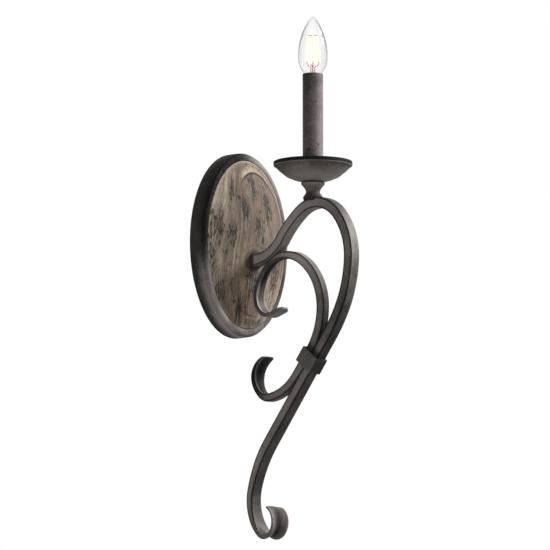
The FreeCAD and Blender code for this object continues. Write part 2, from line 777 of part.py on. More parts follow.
bracket_foot = cylinder("bracket_foot", "bracket_foot_radius", "bracket_thickness",
                        ("0", CANDLE_Y, "bracket_base"))
bracket_tongue = box("bracket_tongue", "bracket_width", "bracket_reach", "bracket_thickness",
                     ("0 - 0.5*bracket_width", CANDLE_Y, "bracket_base"))
bracket_upright = box("bracket_upright", "bracket_width", "bracket_thickness", "bracket_height",
                      ("0 - 0.5*bracket_width", f"{CANDLE_Y} + bracket_reach - bracket_thickness",
                       "bracket_base"))
bracket_upper = box("bracket_upper", "bracket_width", "bracket_reach - bracket_toe", "bracket_thickness",
                    ("0 - 0.5*bracket_width", f"{CANDLE_Y} + bracket_toe", "socket_base - bracket_thickness"))
bracket_hole = cylinder("bracket_hole", "nipple_radius + hole_gap", "bracket_thickness + 2*overrun",
                        ("0", CANDLE_Y, "bracket_base - overrun"))
rivet_y = f"{CANDLE_Y} + 0.5*bracket_reach - 0.5*bracket_thickness + 0.5*bracket_toe"
rivet_hole = cylinder("rivet_hole", "rivet_radius", "bracket_thickness + 2*overrun",
                      ("0", rivet_y, "socket_base - bracket_thickness - overrun"))
keep(cut(fuse("bracket_whole", bracket_foot, bracket_tongue, bracket_upright, bracket_upper),
         bracket_hole, rivet_hole), "socket_bracket")
rivet_shank = cylinder("rivet_shank", "rivet_radius", "bracket_thickness + rivet_grip",
                       ("0", rivet_y, "socket_base - bracket_thickness"))
rivet_cap = cylinder("rivet_cap", "rivet_head_radius", "rivet_head",
                     ("0", rivet_y, "socket_base - bracket_thickness - rivet_head"))
keep(fuse("rivet_whole", rivet_shank, rivet_cap), "bracket_rivet")

# Lamp socket

socket_blank = cylinder("socket_blank", "socket_radius", "socket_height", ("0", CANDLE_Y, "socket_base"))
socket_well = cylinder("socket_well", "socket_bore", "socket_height - socket_floor + overrun",
                       ("0", CANDLE_Y, "socket_floor_level"))
socket_rivet_hole = cylinder("socket_rivet_hole", "rivet_radius", "rivet_grip + overrun",
                             ("0", rivet_y, "socket_base - overrun"))
keep(cut(socket_blank, socket_well, socket_rivet_hole), "socket_body")
shell_blank = cylinder("shell_blank", "shell_radius", "shell_height", ("0", CANDLE_Y, "socket_floor_level"))
shell_well = cylinder("shell_well", "shell_bore", "shell_height - shell_wall + overrun",
                      ("0", CANDLE_Y, "socket_floor_level + shell_wall"))
shell_floor_hole = cylinder("shell_floor_hole", "shell_hole", "shell_wall + 2*overrun",
                            ("0", CANDLE_Y, "socket_floor_level - overrun"))
keep(cut(shell_blank, shell_well, shell_floor_hole), "socket_shell")
post = cylinder("tongue_post", "rivet_radius", "tongue_height - tongue_thickness",
                ("0", CANDLE_Y, "socket_floor_level"))
tongue = cylinder("tongue", "tongue_radius", "tongue_thickness", ("0", CANDLE_Y, "tongue_top - tongue_thickness"))
keep(fuse("tongue_whole", post, tongue), "socket_contact")

# Candle sleeve

sleeve_bore = "sleeve_radius - sleeve_wall"
sleeve_outline = [(sleeve_bore, "0"), ("sleeve_radius", "0"), ("sleeve_radius", "sleeve_length - sleeve_edge"),
                  ("sleeve_radius - sleeve_edge", "sleeve_length"), (sleeve_bore, "sleeve_length")]
keep(turned("sleeve", sleeve_outline, "sleeve_low"), "candle_sleeve")

# Bulb

CONTACT_SHARES = [(0.6, 0), (1, 0.5), (1, 1)]
contact_outline = [(f"{a}*contact_radius", f"{b}*contact_height") for a, b in CONTACT_SHARES]
contact_outline = [("0", "0"), *contact_outline, ("0", "contact_height")]
keep(turned("contact", contact_outline, "bulb_base"), "bulb_contact")
insulator_outline = [("0", "0"), ("contact_radius + base_wall", "0"),
                     ("base_radius - base_wall", "insulator_height"), ("0", "insulator_height")]
keep(turned("insulator", insulator_outline, "insulator_low"), "bulb_insulator")
shell_inside = "base_radius - base_wall"
base_outline = [("contact_radius", "0"), ("base_radius - base_wall", "0"), ("base_radius", "base_wall"),
                ("base_radius", "base_height"), (shell_inside, "base_height"), (shell_inside, "base_wall"),
                ("contact_radius", "base_wall")]
keep(turned("base_shell", base_outline, "base_low"), "bulb_base")

THROAT_SHARE = 0.05
LOWER_GLASS_SHARES = [(0.37, 0.076), (0.47, 0.1), (0.566, 0.12), (0.7, 0.17), (0.8, 0.208), (0.903, 0.259),
                      (0.977, 0.328)]
UPPER_GLASS_SHARES = [(1, 0.409), (0.983, 0.497), (0.926, 0.595), (0.853, 0.665), (0.76, 0.726),
                      (0.617, 0.809), (0.417, 0.896), (0.2, 0.965)]
TIP_SHARES = (0.07, 0.992)
glass_neck = "base_radius - base_wall - glass_fit"
glass_lower = [(glass_neck, "0"), (glass_neck, f"{THROAT_SHARE}*glass_height")]
glass_lower += [(f"{a}*glass_radius", f"{b}*glass_height") for a, b in LOWER_GLASS_SHARES]
glass_upper = [(f"{a}*glass_radius", f"{b}*glass_height") for a, b in UPPER_GLASS_SHARES]
glass_tip = [(f"{TIP_SHARES[0]}*glass_radius", f"{TIP_SHARES[1]}*glass_height"), ("0", "glass_height"),
             ("0", "glass_height - 2*glass_wall")]
glass_inside = [(f"{radius} - glass_wall", height) for radius, height in glass_lower]
glass_inside += [(f"{radius} - glass_wall", f"{height} - glass_wall") for radius, height in glass_upper]
glass_outline = glass_lower + glass_upper + glass_tip + glass_inside[::-1]
keep(turned("glass", glass_outline, "glass_low"), "bulb_glass")
STEM_SHARES = [(1, 0), (1, 0.1), (0.62, 0.3), (0.5, 0.5), (0.55, 0.8), (0.7, 0.9), (0.55, 1)]
stem_outline = [("0", "0")] + [(f"{a}*stem_radius", f"{b}*stem_height") for a, b in STEM_SHARES]
stem_outline += [("stem_rod_radius", "stem_height"),
                 ("stem_rod_radius", "stem_height + filament_stand + filament_height"),
                 ("0", "stem_height + filament_stand + filament_height")]
keep(turned("stem", stem_outline, "glass_low"), "bulb_stem")


def rod(radius, start, end):
    return Part.makeCylinder(radius, (end - start).Length, start, end - start)


QUARTERS = [45, 135, 225, 315]     # directions of the four filaments
candle_y = length(CANDLE_Y)
filament_rods = []
wire_rods = []
for direction in QUARTERS:
    outward = FreeCAD.Vector(math.cos(math.radians(direction)), math.sin(math.radians(direction)), 0)
    axis = FreeCAD.Vector(0, candle_y, 0)
    low = axis + outward * known["filament_low_reach"] + Z_AXIS * length("filament_low")
    high = axis + outward * known["filament_high_reach"] + Z_AXIS * length("filament_top")
    along = (high - low).normalize()
    filament_rods.append(rod(known["filament_radius"], low, high))
    stem_side = axis + outward * length("0.5*stem_radius") + Z_AXIS * length("stem_top + wire_radius")
    rod_side = axis + outward * length("stem_rod_radius") + Z_AXIS * length("filament_top + wire_radius")
    wire_rods.append(rod(known["wire_radius"], stem_side, low - along * known["wire_radius"]))
    wire_rods.append(rod(known["wire_radius"], rod_side, high + along * length("2*wire_radius")))
keep(coded("filament_group", Part.makeCompound(filament_rods)), "filaments")
keep(coded("wire_group", Part.makeCompound(wire_rods)), "filament_wires")

# Leads, from the connectors behind the plate through the foot, the main scroll and the neck

bend = known["lead_rise_bend"]
rise_radius = known["crown_radius"] + bend
leave_heading = 180 - math.degrees(math.asin((bend + known["candle_back"]) / rise_radius))
leave_along = crown_along - known["crown_radius"] * math.radians(180 - leave_heading)
leave = arm_path.at(leave_along)


def lead(side):
    x = side * known["lead_apart"] / 2
    plane = -known["lead_plane"]
    foot_z = -known["foot_drop"]
    reach = side * known["connector_reach"]
    down = FreeCAD.Vector(0, 0, -1)
    sideways = X_AXIS * side
    start = FreeCAD.Vector(reach, plane, foot_z - length("connector_drop + lead_entry"))
    drop_corner = FreeCAD.Vector(reach, plane, foot_z)
    foot_corner = FreeCAD.Vector(x, plane, foot_z)
    drop = corner_edge(drop_corner, Z_AXIS, sideways * -1, known["lead_drop_bend"])
    turn = corner_edge(foot_corner, sideways * -1, Y_AXIS * -1, known["lead_bend"])
    foot = FreeCAD.Vector(x, -length("foot_depth"), foot_z)
    edges = [line_edge(start, drop[0]), drop[1], line_edge(drop[2], turn[0]), turn[1], line_edge(turn[2], foot)]
    edges += path_edges(arm_path, 0, leave_along, x)
    rise_start = FreeCAD.Vector(x, *leave[:2])
    middle = walk(leave, bend, -1, bend * math.radians(leave[2] - 90) / 2)
    end = walk(leave, bend, -1, bend * math.radians(leave[2] - 90))
    rise_middle = FreeCAD.Vector(x, *middle[:2])
    rise_end = FreeCAD.Vector(x, *end[:2])
    top = FreeCAD.Vector(x, rise_end.y, length("socket_base - lead_end_gap"))
    edges += [Part.Arc(rise_start, rise_middle, rise_end).toShape(), line_edge(rise_end, top)]
    return swept(edges, known["lead_radius"])


keep(coded("live_sweep", lead(1)), "live_lead")
keep(coded("neutral_sweep", lead(-1)), "neutral_lead")

connectors = []
DOWNWARDS = FreeCAD.Rotation(X_AXIS, 180)
for side in "+-":
    at = (f"{side} connector_reach", "0 - lead_plane", "0 - foot_drop - connector_drop")
    cap = cone(f"connector_{len(connectors)}", "connector_mouth", "connector_tip", "connector_length",
               at, DOWNWARDS)
    mouth = cylinder(f"connector_mouth_{len(connectors)}", "lead_radius + connector_play",
                     "connector_bore_depth + overrun",
                     (at[0], at[1], f"{at[2]} + overrun"), DOWNWARDS)
    connectors.append(cut(cap, mouth))
keep(group("connector_group", connectors), "wire_connectors")

# Crossbar, with a tab bent out at each end for the set screws

strap = box("strap", "2*strap_half_width", "strap_thickness", "2*strap_half_length",
            ("0 - strap_half_width", "0 - strap_thickness", negative("strap_half_length")))
tabs = [box(f"tab_{i}", "2*strap_half_width", "strap_tab", "strap_thickness",
            ("0 - strap_half_width", "0 - strap_tab", z))
        for i, z in enumerate(["strap_half_length - strap_thickness", negative("strap_half_length")])]
slots = []
for i, side in enumerate("+-"):
    slots.append(box(f"slot_{i}", "2*slot_half_width", "strap_thickness + 2*overrun",
                     "2*slot_half_length - 2*slot_half_width",
                     ("0 - slot_half_width", "0 - strap_thickness - overrun",
                      f"{side} slot_half_spacing - slot_half_length + slot_half_width")))
    for j, end in enumerate("+-"):
        z = f"{side} slot_half_spacing {end} slot_half_length {negative(end + ' slot_half_width')}"
        slots.append(cylinder(f"slot_{i}_end_{j}", "slot_half_width", "strap_thickness + 2*overrun",
                              ("0", "overrun", z), OUTWARDS))
strap_holes = [cylinder("strap_ground_hole", "ground_screw_radius + thread_gap",
                        "strap_thickness + 2*overrun", ("0", "overrun", "ground_screw_up"), OUTWARDS)]
for i, z in enumerate(["strap_half_length - strap_thickness - overrun",
                       negative("strap_half_length + overrun")]):
    strap_holes.append(cylinder(f"tab_hole_{i}", "set_screw_radius + thread_gap",
                                "strap_thickness + 2*overrun", ("0", "0 - set_screw_depth", z)))
keep(cut(fuse("strap_whole", strap, *tabs), *slots, *strap_holes), "crossbar")

# Screws

set_screws = []
for i, turn in enumerate([UPRIGHT, DOWNWARDS]):
    sign = "+-"[i]
    outer = "plate_half_height - set_screw_sink"
    base = f"{outer} - set_screw_length"
    z = base if i == 0 else negative(base)
    body = cylinder(f"set_screw_{i}", "set_screw_radius", "set_screw_length",
                    ("0", "0 - set_screw_depth", z), turn)
    key_z = f"{outer} - set_screw_socket_depth"
    key = prism(f"set_screw_key_{i}", "set_screw_socket", "set_screw_socket_depth + overrun",
                ("0", "0 - set_screw_depth", key_z if i == 0 else negative(key_z)), turn)
    set_screws.append(cut(body, key))
keep(group("set_screw_group", set_screws), "set_screws")

wood_screws = []
for i, (x, z) in enumerate(corners):
    shank = outward_hole(f"wood_screw_{i}", "wood_screw_radius", x, z, "floor_depth",
                         "floor_depth + wood_screw_length")
    head = outward_hole(f"wood_screw_head_{i}", "wood_screw_head", x, z,
                        "floor_depth - wood_screw_head_height", "floor_depth")
    wood_screws.append(fuse(f"wood_screw_whole_{i}", shank, head))
keep(group("wood_screw_group", wood_screws), "inlay_screws")

ground_shank = outward_hole("ground_shank", "ground_screw_radius", "0", "ground_screw_up",
                            "0", "strap_thickness")
ground_head = outward_hole("ground_head", "ground_screw_head", "0", "ground_screw_up",
                           "strap_thickness", "strap_thickness + ground_screw_head_height")
keep(fuse("ground_screw_whole", ground_shank, ground_head), "ground_screw")
earth_shank = outward_hole("earth_shank", "ground_screw_radius", "earth_screw_across", "ground_screw_up",
                           "floor_depth", "seat_depth")
earth_head = outward_hole("earth_head", "ground_screw_head", "earth_screw_across", "ground_screw_up",
                          "floor_depth - ground_screw_head_height", "floor_depth")
keep(fuse("earth_screw_whole", earth_shank, earth_head), "earth_screw")

near_y = -length("strap_thickness + lead_radius + ground_lead_float")
far_y = -length("floor_depth - lead_radius - ground_lead_float")
ground_z = known["ground_screw_up"]
ground_start = FreeCAD.Vector(length("ground_screw_head + lead_end_gap"), near_y, ground_z)
ground_end = FreeCAD.Vector(length("earth_screw_across - ground_screw_head - lead_end_gap"), far_y, ground_z)
turn_near = FreeCAD.Vector(known["ground_lead_turn"], near_y, ground_z)
turn_far = FreeCAD.Vector(known["ground_lead_turn"], far_y, ground_z)
near_bend = corner_edge(turn_near, X_AXIS, Y_AXIS * -1, known["ground_lead_bend"])
far_bend = corner_edge(turn_far, Y_AXIS * -1, X_AXIS, known["ground_lead_bend"])
ground_edges = [line_edge(ground_start, near_bend[0]), near_bend[1], line_edge(near_bend[2], far_bend[0]),
                far_bend[1], line_edge(far_bend[2], ground_end)]
keep(coded("ground_sweep", swept(ground_edges, known["lead_radius"])), "ground_lead")

# Everything is computed and tested before it is written

doc.recompute()
for item in doc.Objects:
    if "Invalid" in item.State or "Error" in item.State:
        raise RuntimeError(f"{item.Name} failed: {item.State}")
for item in subparts:
    if item.Shape.isNull() or not item.Shape.isValid() or not item.Shape.Solids:
        raise RuntimeError(f"{item.Label} has no valid solid")

os.makedirs("parts", exist_ok=True)
for item in subparts:
    item.Shape.exportStep(f"parts/{item.Label}.step")
    print(item.Label, len(item.Shape.Solids), "solids", round(item.Shape.Volume), "mm3")
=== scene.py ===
import json
import math

import bmesh
import bpy
import numpy as np
from mathutils import Matrix, Vector


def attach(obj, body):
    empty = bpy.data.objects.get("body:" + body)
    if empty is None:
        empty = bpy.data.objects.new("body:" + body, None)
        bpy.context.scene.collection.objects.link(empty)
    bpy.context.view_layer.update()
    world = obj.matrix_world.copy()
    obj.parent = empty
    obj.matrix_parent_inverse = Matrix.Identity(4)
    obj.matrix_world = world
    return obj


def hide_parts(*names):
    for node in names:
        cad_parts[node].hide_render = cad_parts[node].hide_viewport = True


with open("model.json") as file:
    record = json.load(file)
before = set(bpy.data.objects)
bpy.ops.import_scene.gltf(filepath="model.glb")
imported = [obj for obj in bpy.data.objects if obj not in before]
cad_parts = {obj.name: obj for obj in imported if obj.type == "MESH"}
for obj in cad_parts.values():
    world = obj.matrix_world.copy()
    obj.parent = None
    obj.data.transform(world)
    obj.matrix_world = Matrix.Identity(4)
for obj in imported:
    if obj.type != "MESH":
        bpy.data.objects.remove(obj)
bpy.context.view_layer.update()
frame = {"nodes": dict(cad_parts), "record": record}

MM = 0.001

# Driving sizes of the object, in millimetres, in the row frame (X right, -Y out of the wall, Z up)

PLATE = (73.0, 111.0)  # half width and half height of the oval plate
CREST_DEPTH = 38.5  # the top of the wood's dome, from the wall
PAN_WALL = 2.2
WOOD_INSET = 8.0
WOOD_BACK = 16.6
FOOT_DEPTH = 41.0
FOOT_Z = -20.0
FOOT_RADIUS = 10.5
ARM_THICKNESS = 12.6
ARM_WIDTH = 13.5
SIDE_THICKNESS = 12.2
SIDE_WIDTH = 9.5
COLLAR_RUN = 34.5
COLLAR_LENGTH = 20.0
COLLAR_WALL = 2.1
COLLAR_GAP = 0.1  # the room between the collar and the bars, over both sides
COLLAR_SLACK = 0.3  # how much wider its outside is than the bars and two walls
CANDLE_Y = -132.0
AXIS = (0.0, CANDLE_Y, 0.0)

# Small helpers

SMOOTH_ANGLE = math.radians(35.0)


def new_object(name, data):
    obj = bpy.data.objects.new(name, data)
    bpy.context.scene.collection.objects.link(obj)
    return obj


def grid_mesh(name, rows, close_rows=False, caps=(False, False), shade=None):
    """A mesh from rows of closed outlines, in millimetres. caps: a cap on the first and last row.
    shade holds a dark and a light value for each point."""
    rows = np.asarray(rows, float)
    count, around = rows.shape[:2]
    verts = [tuple(p * MM) for p in rows.reshape(-1, 3)]
    faces = []
    for i in range(count if close_rows else count - 1):
        for j in range(around):
            after = (j + 1) % around
            under = (i + 1) % count
            faces.append((i * around + j, i * around + after,
                          under * around + after, under * around + j))
    for wanted, row in zip(caps, (0, count - 1)):
        if wanted:
            faces += [(row * around + j, row * around + (j + 1) % around, len(verts))
                      for j in range(around)]
            verts.append(tuple(rows[row].mean(axis=0) * MM))
    mesh = bpy.data.meshes.new(name)
    mesh.from_pydata(verts, [], faces)
    if shade is not None:
        flat = shade.reshape(-1, 2)
        for column, key in enumerate(("dark", "light")):
            layer = mesh.attributes.new(key, "FLOAT", "POINT")
            values = np.zeros(len(verts))
            values[:len(flat)] = flat[:, column]
            layer.data.foreach_set("value", values)
    tidy(mesh)
    return mesh


def tidy(mesh):
    """Outward normals, smooth shading, and sharp edges where the surface turns hard."""
    bm = bmesh.new()
    bm.from_mesh(mesh)
    bmesh.ops.remove_doubles(bm, verts=bm.verts, dist=1e-7)
    bmesh.ops.recalc_face_normals(bm, faces=bm.faces)
    for face in bm.faces:
        face.smooth = True
    for edge in bm.edges:
        if len(edge.link_faces) == 2 and edge.calc_face_angle(0) > SMOOTH_ANGLE:
            edge.smooth = False
    bm.to_mesh(mesh)
    bm.free()


def lathe(name, profile, centre=AXIS, outwards=False, segments=128, closed=True, tones=(), round_tones=()):
    """Turns a profile of (radius, height) about the upright axis, or about one out of the wall.
    tones gives (height, tone) rows of painted shade and light, and round_tones adds (turn in degrees, tone)
    rows."""
    angles = np.linspace(0, 2 * math.pi, segments, endpoint=False)
    rows = []
    for radius, height in profile:
        flat = [radius * np.cos(angles), radius * np.sin(angles), np.full(segments, height)]
        if outwards:
            flat = [flat[0], -flat[2], flat[1]]
        rows.append(np.stack(flat, axis=1) + np.array(centre))
    shade = None
    if tones:
        heights, values = np.array(tones).T
        tone = np.interp([height for radius, height in profile], heights, values)
        tone = np.repeat(tone[:, None], segments, axis=1)
        if round_tones:
            turns, values = np.array(round_tones).T
            tone = tone + np.interp(np.degrees(angles), turns, values)
        shade = np.stack([np.clip(-tone, 0, 1), np.clip(tone, 0, 1)], axis=2)
    return grid_mesh(name, rows, close_rows=closed, shade=shade)


def smooth_curve(points, steps):
    """A smooth curve through given points, with this many steps from one to the next."""
    points = np.asarray(points, float)
    ends = np.vstack([2 * points[0] - points[1], points, 2 * points[-1] - points[-2]])
    out = []
    for i in range(1, len(ends) - 2):
        p0, p1, p2, p3 = ends[i - 1:i + 3]
        for t in np.arange(steps) / steps:
            out.append(0.5 * (2 * p1 + (p2 - p0) * t + (2 * p0 - 5 * p1 + 4 * p2 - p3) * t ** 2
                              + (3 * p1 - p0 - 3 * p2 + p3) * t ** 3))
    out.append(points[-1])
    return out


def show(name, mesh, body, material, node):
    """Puts a mesh in the scene, on its body and in the place of a node of the solids."""
    obj = new_object(name, mesh)
    obj.data.materials.append(material)
    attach(obj, body)
    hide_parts(node)


# Materials


class Nodes:
    """A short way to write a material's node tree."""

    def __init__(self, name):
        self.material = bpy.data.materials.new(name)
        self.material.use_nodes = True
        self.tree = self.material.node_tree
        self.shader = self.tree.nodes["Principled BSDF"]
        self.place = self.add("ShaderNodeTexCoord").outputs["Object"]

    def put(self, socket, value):
        if isinstance(value, bpy.types.NodeSocket):
            self.tree.links.new(value, socket)
        else:
            socket.default_value = value

    def add(self, kind, inputs=(), **settings):
        """A new node with these settings, and with its inputs by name or number."""
        node = self.tree.nodes.new(kind)
        for key, value in settings.items():
            setattr(node, key, value)
        for key, value in dict(inputs).items():
            self.put(node.inputs[key], value)
        return node

    def stretched(self, scale, turn=(0, 0, 0)):
        inputs = {"Scale": scale, "Rotation": turn, "Vector": self.place}
        return self.add("ShaderNodeMapping", inputs).outputs["Vector"]

    def noise(self, scale, detail=4.0, rough=0.55, distort=0.0, at=None):
        inputs = {"Vector": at or self.place, "Scale": scale, "Detail": detail, "Roughness": rough,
                  "Distortion": distort}
        return self.add("ShaderNodeTexNoise", inputs).outputs["Fac"]

    def grain(self, across, up, **settings):
        """Noise drawn out along the board's height, by its scales across and up."""
        return self.noise(1.0, at=self.stretched((across, 1.0, up)), **settings)

    def cells(self, scale, at):
        return self.add("ShaderNodeTexVoronoi", {"Vector": at, "Scale": scale}).outputs["Distance"]

    def spread(self, value, low, high, out_low=0.0, out_high=1.0, kind="LINEAR"):
        """Maps a value from one range to another and holds it there."""
        inputs = {"Value": value, "From Min": low, "From Max": high, "To Min": out_low, "To Max": out_high}
        return self.add("ShaderNodeMapRange", inputs, clamp=True, interpolation_type=kind).outputs["Result"]

    def math(self, operation, a, b=0.0):
        return self.add("ShaderNodeMath", {0: a, 1: b}, operation=operation).outputs[0]

    def times(self, a, b):
        return self.math("MULTIPLY", a, b)

    def plus(self, a, b):
        return self.math("ADD", a, b)

    def minus(self, a, b):
        return self.math("SUBTRACT", a, b)

    def most(self, a, b):
        return self.math("MAXIMUM", a, b)

    def axes(self, vector):
        """The X, Y and Z of a vector, in metres."""
        return self.add("ShaderNodeSeparateXYZ", {0: vector}).outputs

    def attribute(self, name):
        return self.add("ShaderNodeAttribute", attribute_name=name).outputs["Fac"]

    def facing(self):
        """0 where the surface faces the eye and 1 where it turns away."""
        return self.add("ShaderNodeLayerWeight", {"Blend": 0.5}).outputs["Facing"]

    def mix(self, factor, a, b):
        inputs = {"Factor": factor, "A": a, "B": b}
        return self.add("ShaderNodeMix", inputs, data_type="RGBA").outputs["Result"]

    def ramp(self, value, stops):
        node = self.add("ShaderNodeValToRGB", {"Fac": value})
        elements = node.color_ramp.elements
        while len(elements) < len(stops):
            elements.new(0.5)
        for element, (position, colour) in zip(elements, stops):
            element.position = position
            element.color = colour
        return node.outputs["Color"]

    def oval(self, x, z, across, up):
        """0 at the middle of an upright oval and 1 on its edge; place and half sizes in millimetres."""
        inputs = {"Scale": (1000 / across, 0, 1000 / up), "Location": (-x / across, 0, -z / up),
                  "Vector": self.place}
        placed = self.add("ShaderNodeMapping", inputs).outputs[0]
        return self.add("ShaderNodeVectorMath", {0: placed}, operation="LENGTH").outputs["Value"]

    def bump(self, height, distance, strength):
        inputs = {"Height": height, "Distance": distance, "Strength": strength}
        return self.add("ShaderNodeBump", inputs).outputs["Normal"]

    def set(self, **values):
        """Sets the surface's inputs, each a number, a colour or a socket."""
        for key, value in values.items():
            self.put(self.shader.inputs[key.replace("_", " ")], value)


def srgb(*screen):
    """A colour written as three screen values from 0 to 255."""
    shares = [value / 255 for value in screen]
    linear = [v / 12.92 if v <= 0.04045 else ((v + 0.055) / 1.055) ** 2.4 for v in shares]
    return (*linear, 1.0)


PIT_BLACK = srgb(14, 13, 13)
SHADE_BLACK = srgb(10, 10, 10)
# colour of the painted highlights
PAINTED_HIGHLIGHT = srgb(186, 175, 172)


def aged_metal(name, *tones, pitted=False):
    """Dark zinc-washed iron: cloudy tone and fine grain, with painted shade and painted highlights where
    the mesh's dark and light values say so, with a few pits if it is pitted. tones are its dark, middle and
    light screen values."""
    m = Nodes(name)
    dark, mid, light = (srgb(*tone) for tone in tones)
    clouds = m.noise(34.0, detail=5.0, rough=0.6, distort=0.4)
    fine = m.noise(420.0, detail=3.0, rough=0.6)
    grain = m.noise(850.0, detail=3.0, rough=0.75)
    tone = m.plus(m.times(clouds, 0.7), m.times(fine, 0.3))
    colour = m.ramp(m.spread(tone, 0.36, 0.64), [(0.0, dark), (0.5, mid), (1.0, light)])
    colour = m.mix(m.spread(grain, 0.46, 0.58, 0.0, 0.5), colour, dark)
    height = m.plus(m.times(clouds, 0.5), m.times(fine, 0.3))
    if pitted:
        dots = m.cells(170.0, at=m.stretched((1.0, 1.0, 0.6)))
        choose = m.noise(90.0, detail=1.0)
        pit = m.times(m.spread(dots, 0.22, 0.12), m.spread(choose, 0.52, 0.56))
        colour = m.mix(pit, colour, PIT_BLACK)
        height = m.minus(height, m.times(pit, 0.9))
    # Painted shade from the mesh's dark value and painted highlights from its light value, broken up a
    # little by fine noise
    painted_tone_breakup = m.spread(fine, 0.35, 0.6, 0.9, 1.0)
    black = m.times(m.attribute("dark"), painted_tone_breakup)
    colour = m.mix(black, colour, SHADE_BLACK)
    bright = m.times(m.attribute("light"), painted_tone_breakup)
    colour = m.mix(m.times(bright, 0.5), colour, PAINTED_HIGHLIGHT)
    dull = m.plus(m.spread(fine, 0.3, 0.7, 0.5, 0.68), m.times(black, 0.25))
    m.set(Base_Color=colour, Roughness=dull, Specular_IOR_Level=0.1)
    m.set(Normal=m.bump(height, distance=0.0004, strength=0.6))
    return m.material


metal = aged_metal("dark_zinc_bar", (71, 68, 65), (105, 100, 97), (135, 130, 126))
cup_metal = aged_metal("dark_zinc_cup", (66, 62, 60), (98, 93, 89), (126, 120, 116))
pan_metal = aged_metal("dark_zinc_plate", (67, 64, 61), (102, 98, 94), (139, 134, 130))
sleeve_metal = aged_metal("dark_zinc_sleeve", (76, 71, 70), (112, 104, 103), (142, 133, 133), pitted=True)

# Wood. The ovals on it are written as centre x, z and half sizes, in millimetres.

WOOD_TONES = [(0.0, srgb(72, 61, 52)), (0.3, srgb(102, 89, 76)), (0.5, srgb(120, 107, 93)),
              (0.75, srgb(146, 132, 115)), (1.0, srgb(190, 177, 157))]
# Charred patches
CHAR_SPOTS = [(0.5, 68, 10, 19), (25, 46, 8, 21), (4, 21, 7, 18), (-38, 6, 10, 17), (-57, 16, 9, 24),
              (-16, 43, 8, 15), (-32, 60, 10, 18), (-41, -64, 8, 16), (-12, -76, 13, 19),
              (-60, -20, 5, 24), (2, -45, 13, 22), (41, -37, 10, 24), (-43, -14, 5, 10), (8, -93, 16, 5)]
# Knots and holes
KNOTS = [(-23.6, 53.8, 2.6, 3.6), (-3.2, 96.5, 2.4, 1.3), (9, 95, 2, 1.1), (13, 5, 2.5, 7),
         (-29, -44, 1.2, 2.2)]
GROWTH_RING = (8, 0, 46, 86.5)
CHAR_GROWTH = (1.1, 1.35)  # how much wider and higher the charred patches fade out
GRAIN_RISE = 125.0  # the grain runs together at this height over and under the middle
GRAIN_SWAY = 0.04  # its slow waves left and right, in metres


def swaying(m):
    """The place on the board, pushed left and right in slow waves."""
    sway = m.noise(9.0, detail=2.0, at=m.stretched((1.0, 0.2, 0.6)))
    push = m.add("ShaderNodeCombineXYZ", {"X": m.times(m.minus(sway, 0.5), GRAIN_SWAY)}).outputs[0]
    return m.add("ShaderNodeVectorMath", {0: m.place, 1: push}, operation="ADD").outputs[0]


def gathered(m, where):
    """The same place with the grain's lines drawn apart, so that they run together above and below."""
    up = m.math("DIVIDE", where["Z"], GRAIN_RISE * MM)
    narrowing = m.math("SQRT", m.minus(1.0, m.times(up, up)))
    across = m.math("DIVIDE", where["X"], narrowing)
    return m.add("ShaderNodeCombineXYZ", {"X": across, "Z": where["Z"]}).outputs[0]


def char_patches(m, clumps):
    """The charred ovals, broken up by clumps of grain, and a little char between them."""
    patches = None
    for x, z, across, high in CHAR_SPOTS:
        wider = 1 / math.sqrt(1 - (z / GRAIN_RISE) ** 2)
        size = (CHAR_GROWTH[0] * across * wider, CHAR_GROWTH[1] * high)
        patch = m.spread(m.oval(x * wider, z, *size), 1.0, 0.2)
        patches = patch if patches is None else m.most(patches, patch)
    patches = m.times(patches, m.spread(clumps, 0.3, 0.62, 0.3, 1.1))
    return m.plus(patches, m.spread(clumps, 0.44, 0.68, 0.0, 0.75))


def growth_ring(m, where):
    """One ring of the tree: its dark line and the pale crescent outside its upper left arc."""
    ring = m.minus(m.oval(*GROWTH_RING), 1.0)
    arch = m.times(m.spread(where["Z"], 0.022, 0.05), m.spread(where["X"], -0.02, -0.006))
    low_arch = m.times(m.spread(where["Z"], -0.03, -0.055), m.spread(where["X"], 0.02, 0.0, 0.0, 0.65))
    line = m.times(m.spread(m.math("ABSOLUTE", ring), 0.021, 0.008), m.most(arch, low_arch))
    crescent = m.times(m.spread(ring, 0.01, 0.03), m.spread(ring, 0.13, 0.04))
    return line, m.times(crescent, arch)


